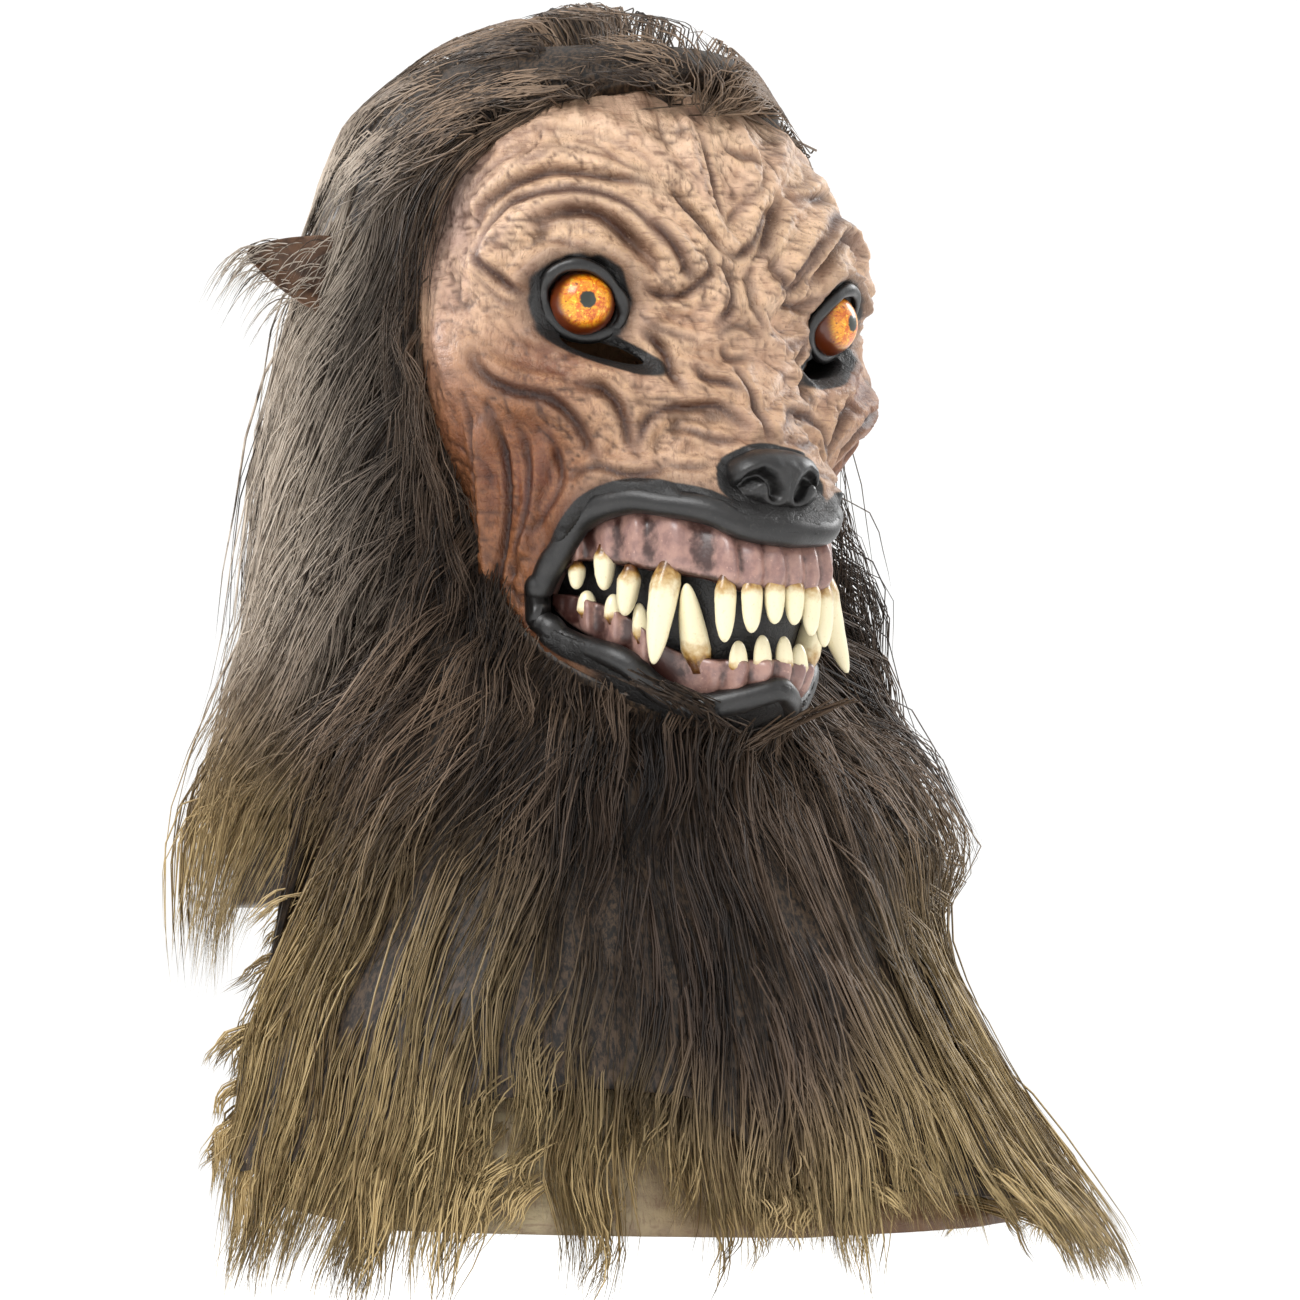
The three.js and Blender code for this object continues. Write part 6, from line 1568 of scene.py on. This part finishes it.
# %% [markdown]
# ## Ear latex
# The ears are the same rubber, painted plain brown, with a darker colour in the hollow and nothing polished on it.

# %% Ear latex
material, tree, where = start_material("brown_ear_latex")
blotch, fine = [add(tree, "TexNoise", {"Vector": where, **settings}).outputs["Fac"]
                for settings in (mottle(6, 5), mottle(1.5, 6))]
colour = coat(tree, "#6a4c36", "#3d291c", (blotch, 0.35, 0.7))
colour = coat(tree, colour, "#382219", ("hollow", 0.25, 0.9), 0.8)
bump = add(tree, "Bump", {"Height": fine, "Strength": 0.4, "Distance": 0.4 * MM}).outputs["Normal"]
shader = add(tree, "BsdfPrincipled", {"Base Color": colour, "Roughness": 0.55, "IOR": 1.52, "Normal": bump})
ear_latex = finish_material(material, tree, shader)
for piece in ears:
    piece.data.materials.append(ear_latex)

# %% [markdown]
# ## Gum latex
# Gums are painted brownish pink, with painted shade as dark seams between the roots and along the teeth, then brushed
# with gloss, so they look wet. A thin coat over a duller base gives that: the highlight is sharp, the colour under it
# stays soft.

# %% Gum latex
material, tree, where = start_material("glossy_gum_latex")
blotch, flecks, gum_shade_noise, fine = [
    add(tree, "TexNoise", {"Vector": where, **settings}).outputs["Fac"]
    for settings in (mottle(5, 4), mottle(1.6, 5), mottle(4, 4), mottle(1.2, 5))]
colour = coat(tree, "#a07c70", "#80605a", (blotch, 0.35, 0.7))
colour = coat(tree, colour, "#c39b8d", (flecks, 0.6, 0.8))
# Painted shade: dark seams where the gum pinches between the roots and along the teeth.
gum_shade = add(tree, "Math", {0: gum_shade_noise, 1: 0.9, 2: read(tree, "pinch")}, operation="MULTIPLY_ADD").outputs[0]
colour = coat(tree, colour, "#3a201b", (gum_shade, 0.9, 1.4))
bump = add(tree, "Bump", {"Height": fine, "Strength": 0.35, "Distance": 0.4 * MM}).outputs["Normal"]
shader = add(tree, "BsdfPrincipled", {"Base Color": colour, "Roughness": 0.38, "IOR": 1.52, "Coat Weight": 0.35,
                                      "Coat Roughness": 0.2, "Normal": bump})
gum_latex = finish_material(material, tree, shader)
for piece in gums:
    piece.data.materials.append(gum_latex)

# %% [markdown]
# ## Tooth resin
# The teeth are cast polyester resin, IOR about 1.55, ivory with an amber stain at the root. The number kept along each
# tooth says how far from the root a point is, and a little noise makes the stain's edge uneven.

# %% Tooth resin
material, tree, where = start_material("stained_polyester_resin")
uneven, flecks, fine = [
    add(tree, "TexNoise", {"Vector": where, **settings}).outputs["Fac"]
    for settings in (mottle(3.5, 4), mottle(1.1, 5), mottle(0.9, 4))]
stain = add(tree, "Math", {0: uneven, 1: 0.35, 2: read(tree, "along")}, operation="MULTIPLY_ADD").outputs[0]
colour = coat(tree, "#a8813f", "#e9deba", (stain, 0.34, 0.6))
colour = coat(tree, "#5a3517", colour, (stain, 0.26, 0.4))
colour = coat(tree, colour, "#c9a45a", (flecks, 0.58, 0.75), 0.4)
bump = add(tree, "Bump", {"Height": fine, "Strength": 0.25, "Distance": 0.3 * MM}).outputs["Normal"]
shader = add(tree, "BsdfPrincipled", {"Base Color": colour, "Roughness": 0.28, "IOR": 1.55, "Coat Weight": 0.3,
                                      "Coat Roughness": 0.12, "Normal": bump})
tooth_resin = finish_material(material, tree, shader)
for piece in teeth:
    piece.data.materials.append(tooth_resin)

# %% [markdown]
# ## Acrylic eye
# The iris is painted behind clear acrylic, IOR 1.49: amber with gold flecks, a brown rim and a small dark pupil. On
# the eye's own map the middle is the line of sight, so distance from it makes pupil and rim, and noise the flecks.

# %% Acrylic eye
material, tree, where = start_material("painted_acrylic_eye")
uv = add(tree, "UVMap", uv_map="UVMap").outputs["UV"]
centred = add(tree, "VectorMath", {0: uv, 1: (0.5, 0.5, 0.0)}, operation="SUBTRACT").outputs["Vector"]
distance = add(tree, "VectorMath", {0: centred}, operation="LENGTH").outputs["Value"]
streaks = add(tree, "TexNoise", {"Vector": centred, "Scale": 8.0, "Detail": 6.0, "Roughness": 0.7,
                                 "Distortion": 1.2}).outputs["Fac"]
spots = add(tree, "TexNoise", {"Vector": centred, "Scale": 15.0, "Detail": 5.0}).outputs["Fac"]
ring = add(tree, "Math", {0: spots, 1: 0.05, 2: distance}, operation="MULTIPLY_ADD").outputs[0]
colour = coat(tree, "#c9560c", "#f0a51e", (streaks, 0.38, 0.62))
colour = coat(tree, colour, "#ffd34a", (spots, 0.55, 0.7))
colour = coat(tree, colour, "#7a2c08", (spots, 0.42, 0.3))
colour = coat(tree, colour, "#5a2408", (ring, 0.34, 0.46))
colour = coat(tree, colour, "#23281f", (ring, 0.165, 0.135))
shader = add(tree, "BsdfPrincipled", {"Base Color": colour, "Roughness": 0.3, "IOR": 1.49, "Coat Weight": 0.35,
                                      "Coat Roughness": 0.03})
eye_acrylic = finish_material(material, tree, shader)
for piece in eyes:
    piece.data.materials.append(eye_acrylic)

# %% [markdown]
# ## Hair
# The hair is modacrylic fibre, which shines less than real hair. A lock's own tone and long streaks vary its brown, and
# three numbers kept at each point bring in the silver at the sides, the gold towards the hem and painted shade, near
# black on the chest under the jaw and dark beside the face.


# %% Hair
def hair_material(name, backing=False):
    """Modacrylic hair, IOR 1.48: brown with a grey cast, olive gold towards the hem, painted shade near black on the
    chest.
    """
    material, tree, where = start_material(name)
    stretch, settings = (0.1, mottle(1.5, 4, 0.7)) if backing else (0.12, mottle(3.0, 5))
    drawn_out = add(tree, "Mapping", {"Vector": where, "Scale": (1, 1, stretch)}).outputs["Vector"]
    streak = add(tree, "TexNoise", {"Vector": drawn_out, **settings}).outputs["Fac"]
    if backing:
        # The backing is painted shade: near black with dark brown streaks, as deep hair looks in shadow.
        colour = coat(tree, "#110c08", "#443527", (streak, 0.4, 0.62))
    else:
        tone = add(tree, "Math", {0: streak, 1: 0.8, 2: read(tree, "tone")}, operation="MULTIPLY_ADD").outputs[0]
        shade = add(tree, "MapRange", {"Value": tone, "From Min": 0.45, "From Max": 1.25},
                    interpolation_type="SMOOTHSTEP").outputs["Result"]
        colour = coat(tree, "#241a13", "#86705c", shade)
        colour = coat(tree, colour, "#c2b5a6", "silver", (shade, 0.05, 0.55))
        colour = coat(tree, colour, coat(tree, "#6b5530", "#bfa776", shade), "gold", 0.9)
        # Painted shade: near black on the chest under the jaw and dark beside the face.
        colour = coat(tree, colour, coat(tree, "#0d0908", "#33261e", shade), "dark", 0.92)
    shader = add(tree, "BsdfPrincipled", {"Base Color": colour, "Roughness": 0.5, "IOR": 1.48,
                                          "Specular IOR Level": 0.35})
    return finish_material(material, tree, shader)


strand_hair = hair_material("modacrylic_hair")
backing_hair = hair_material("dark_hair_backing", backing=True)
backing.data.materials.append(backing_hair)
for piece in hair_pieces:
    piece.data.materials.append(strand_hair)

# %% [markdown]
# ## Finish
# The box of the solids and the box of the dressed mask are set side by side.

# %% Finish
size = {"cad": [list(map(float, c)) for c in CAD_BOX], "visual": [list(map(float, c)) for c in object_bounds()]}
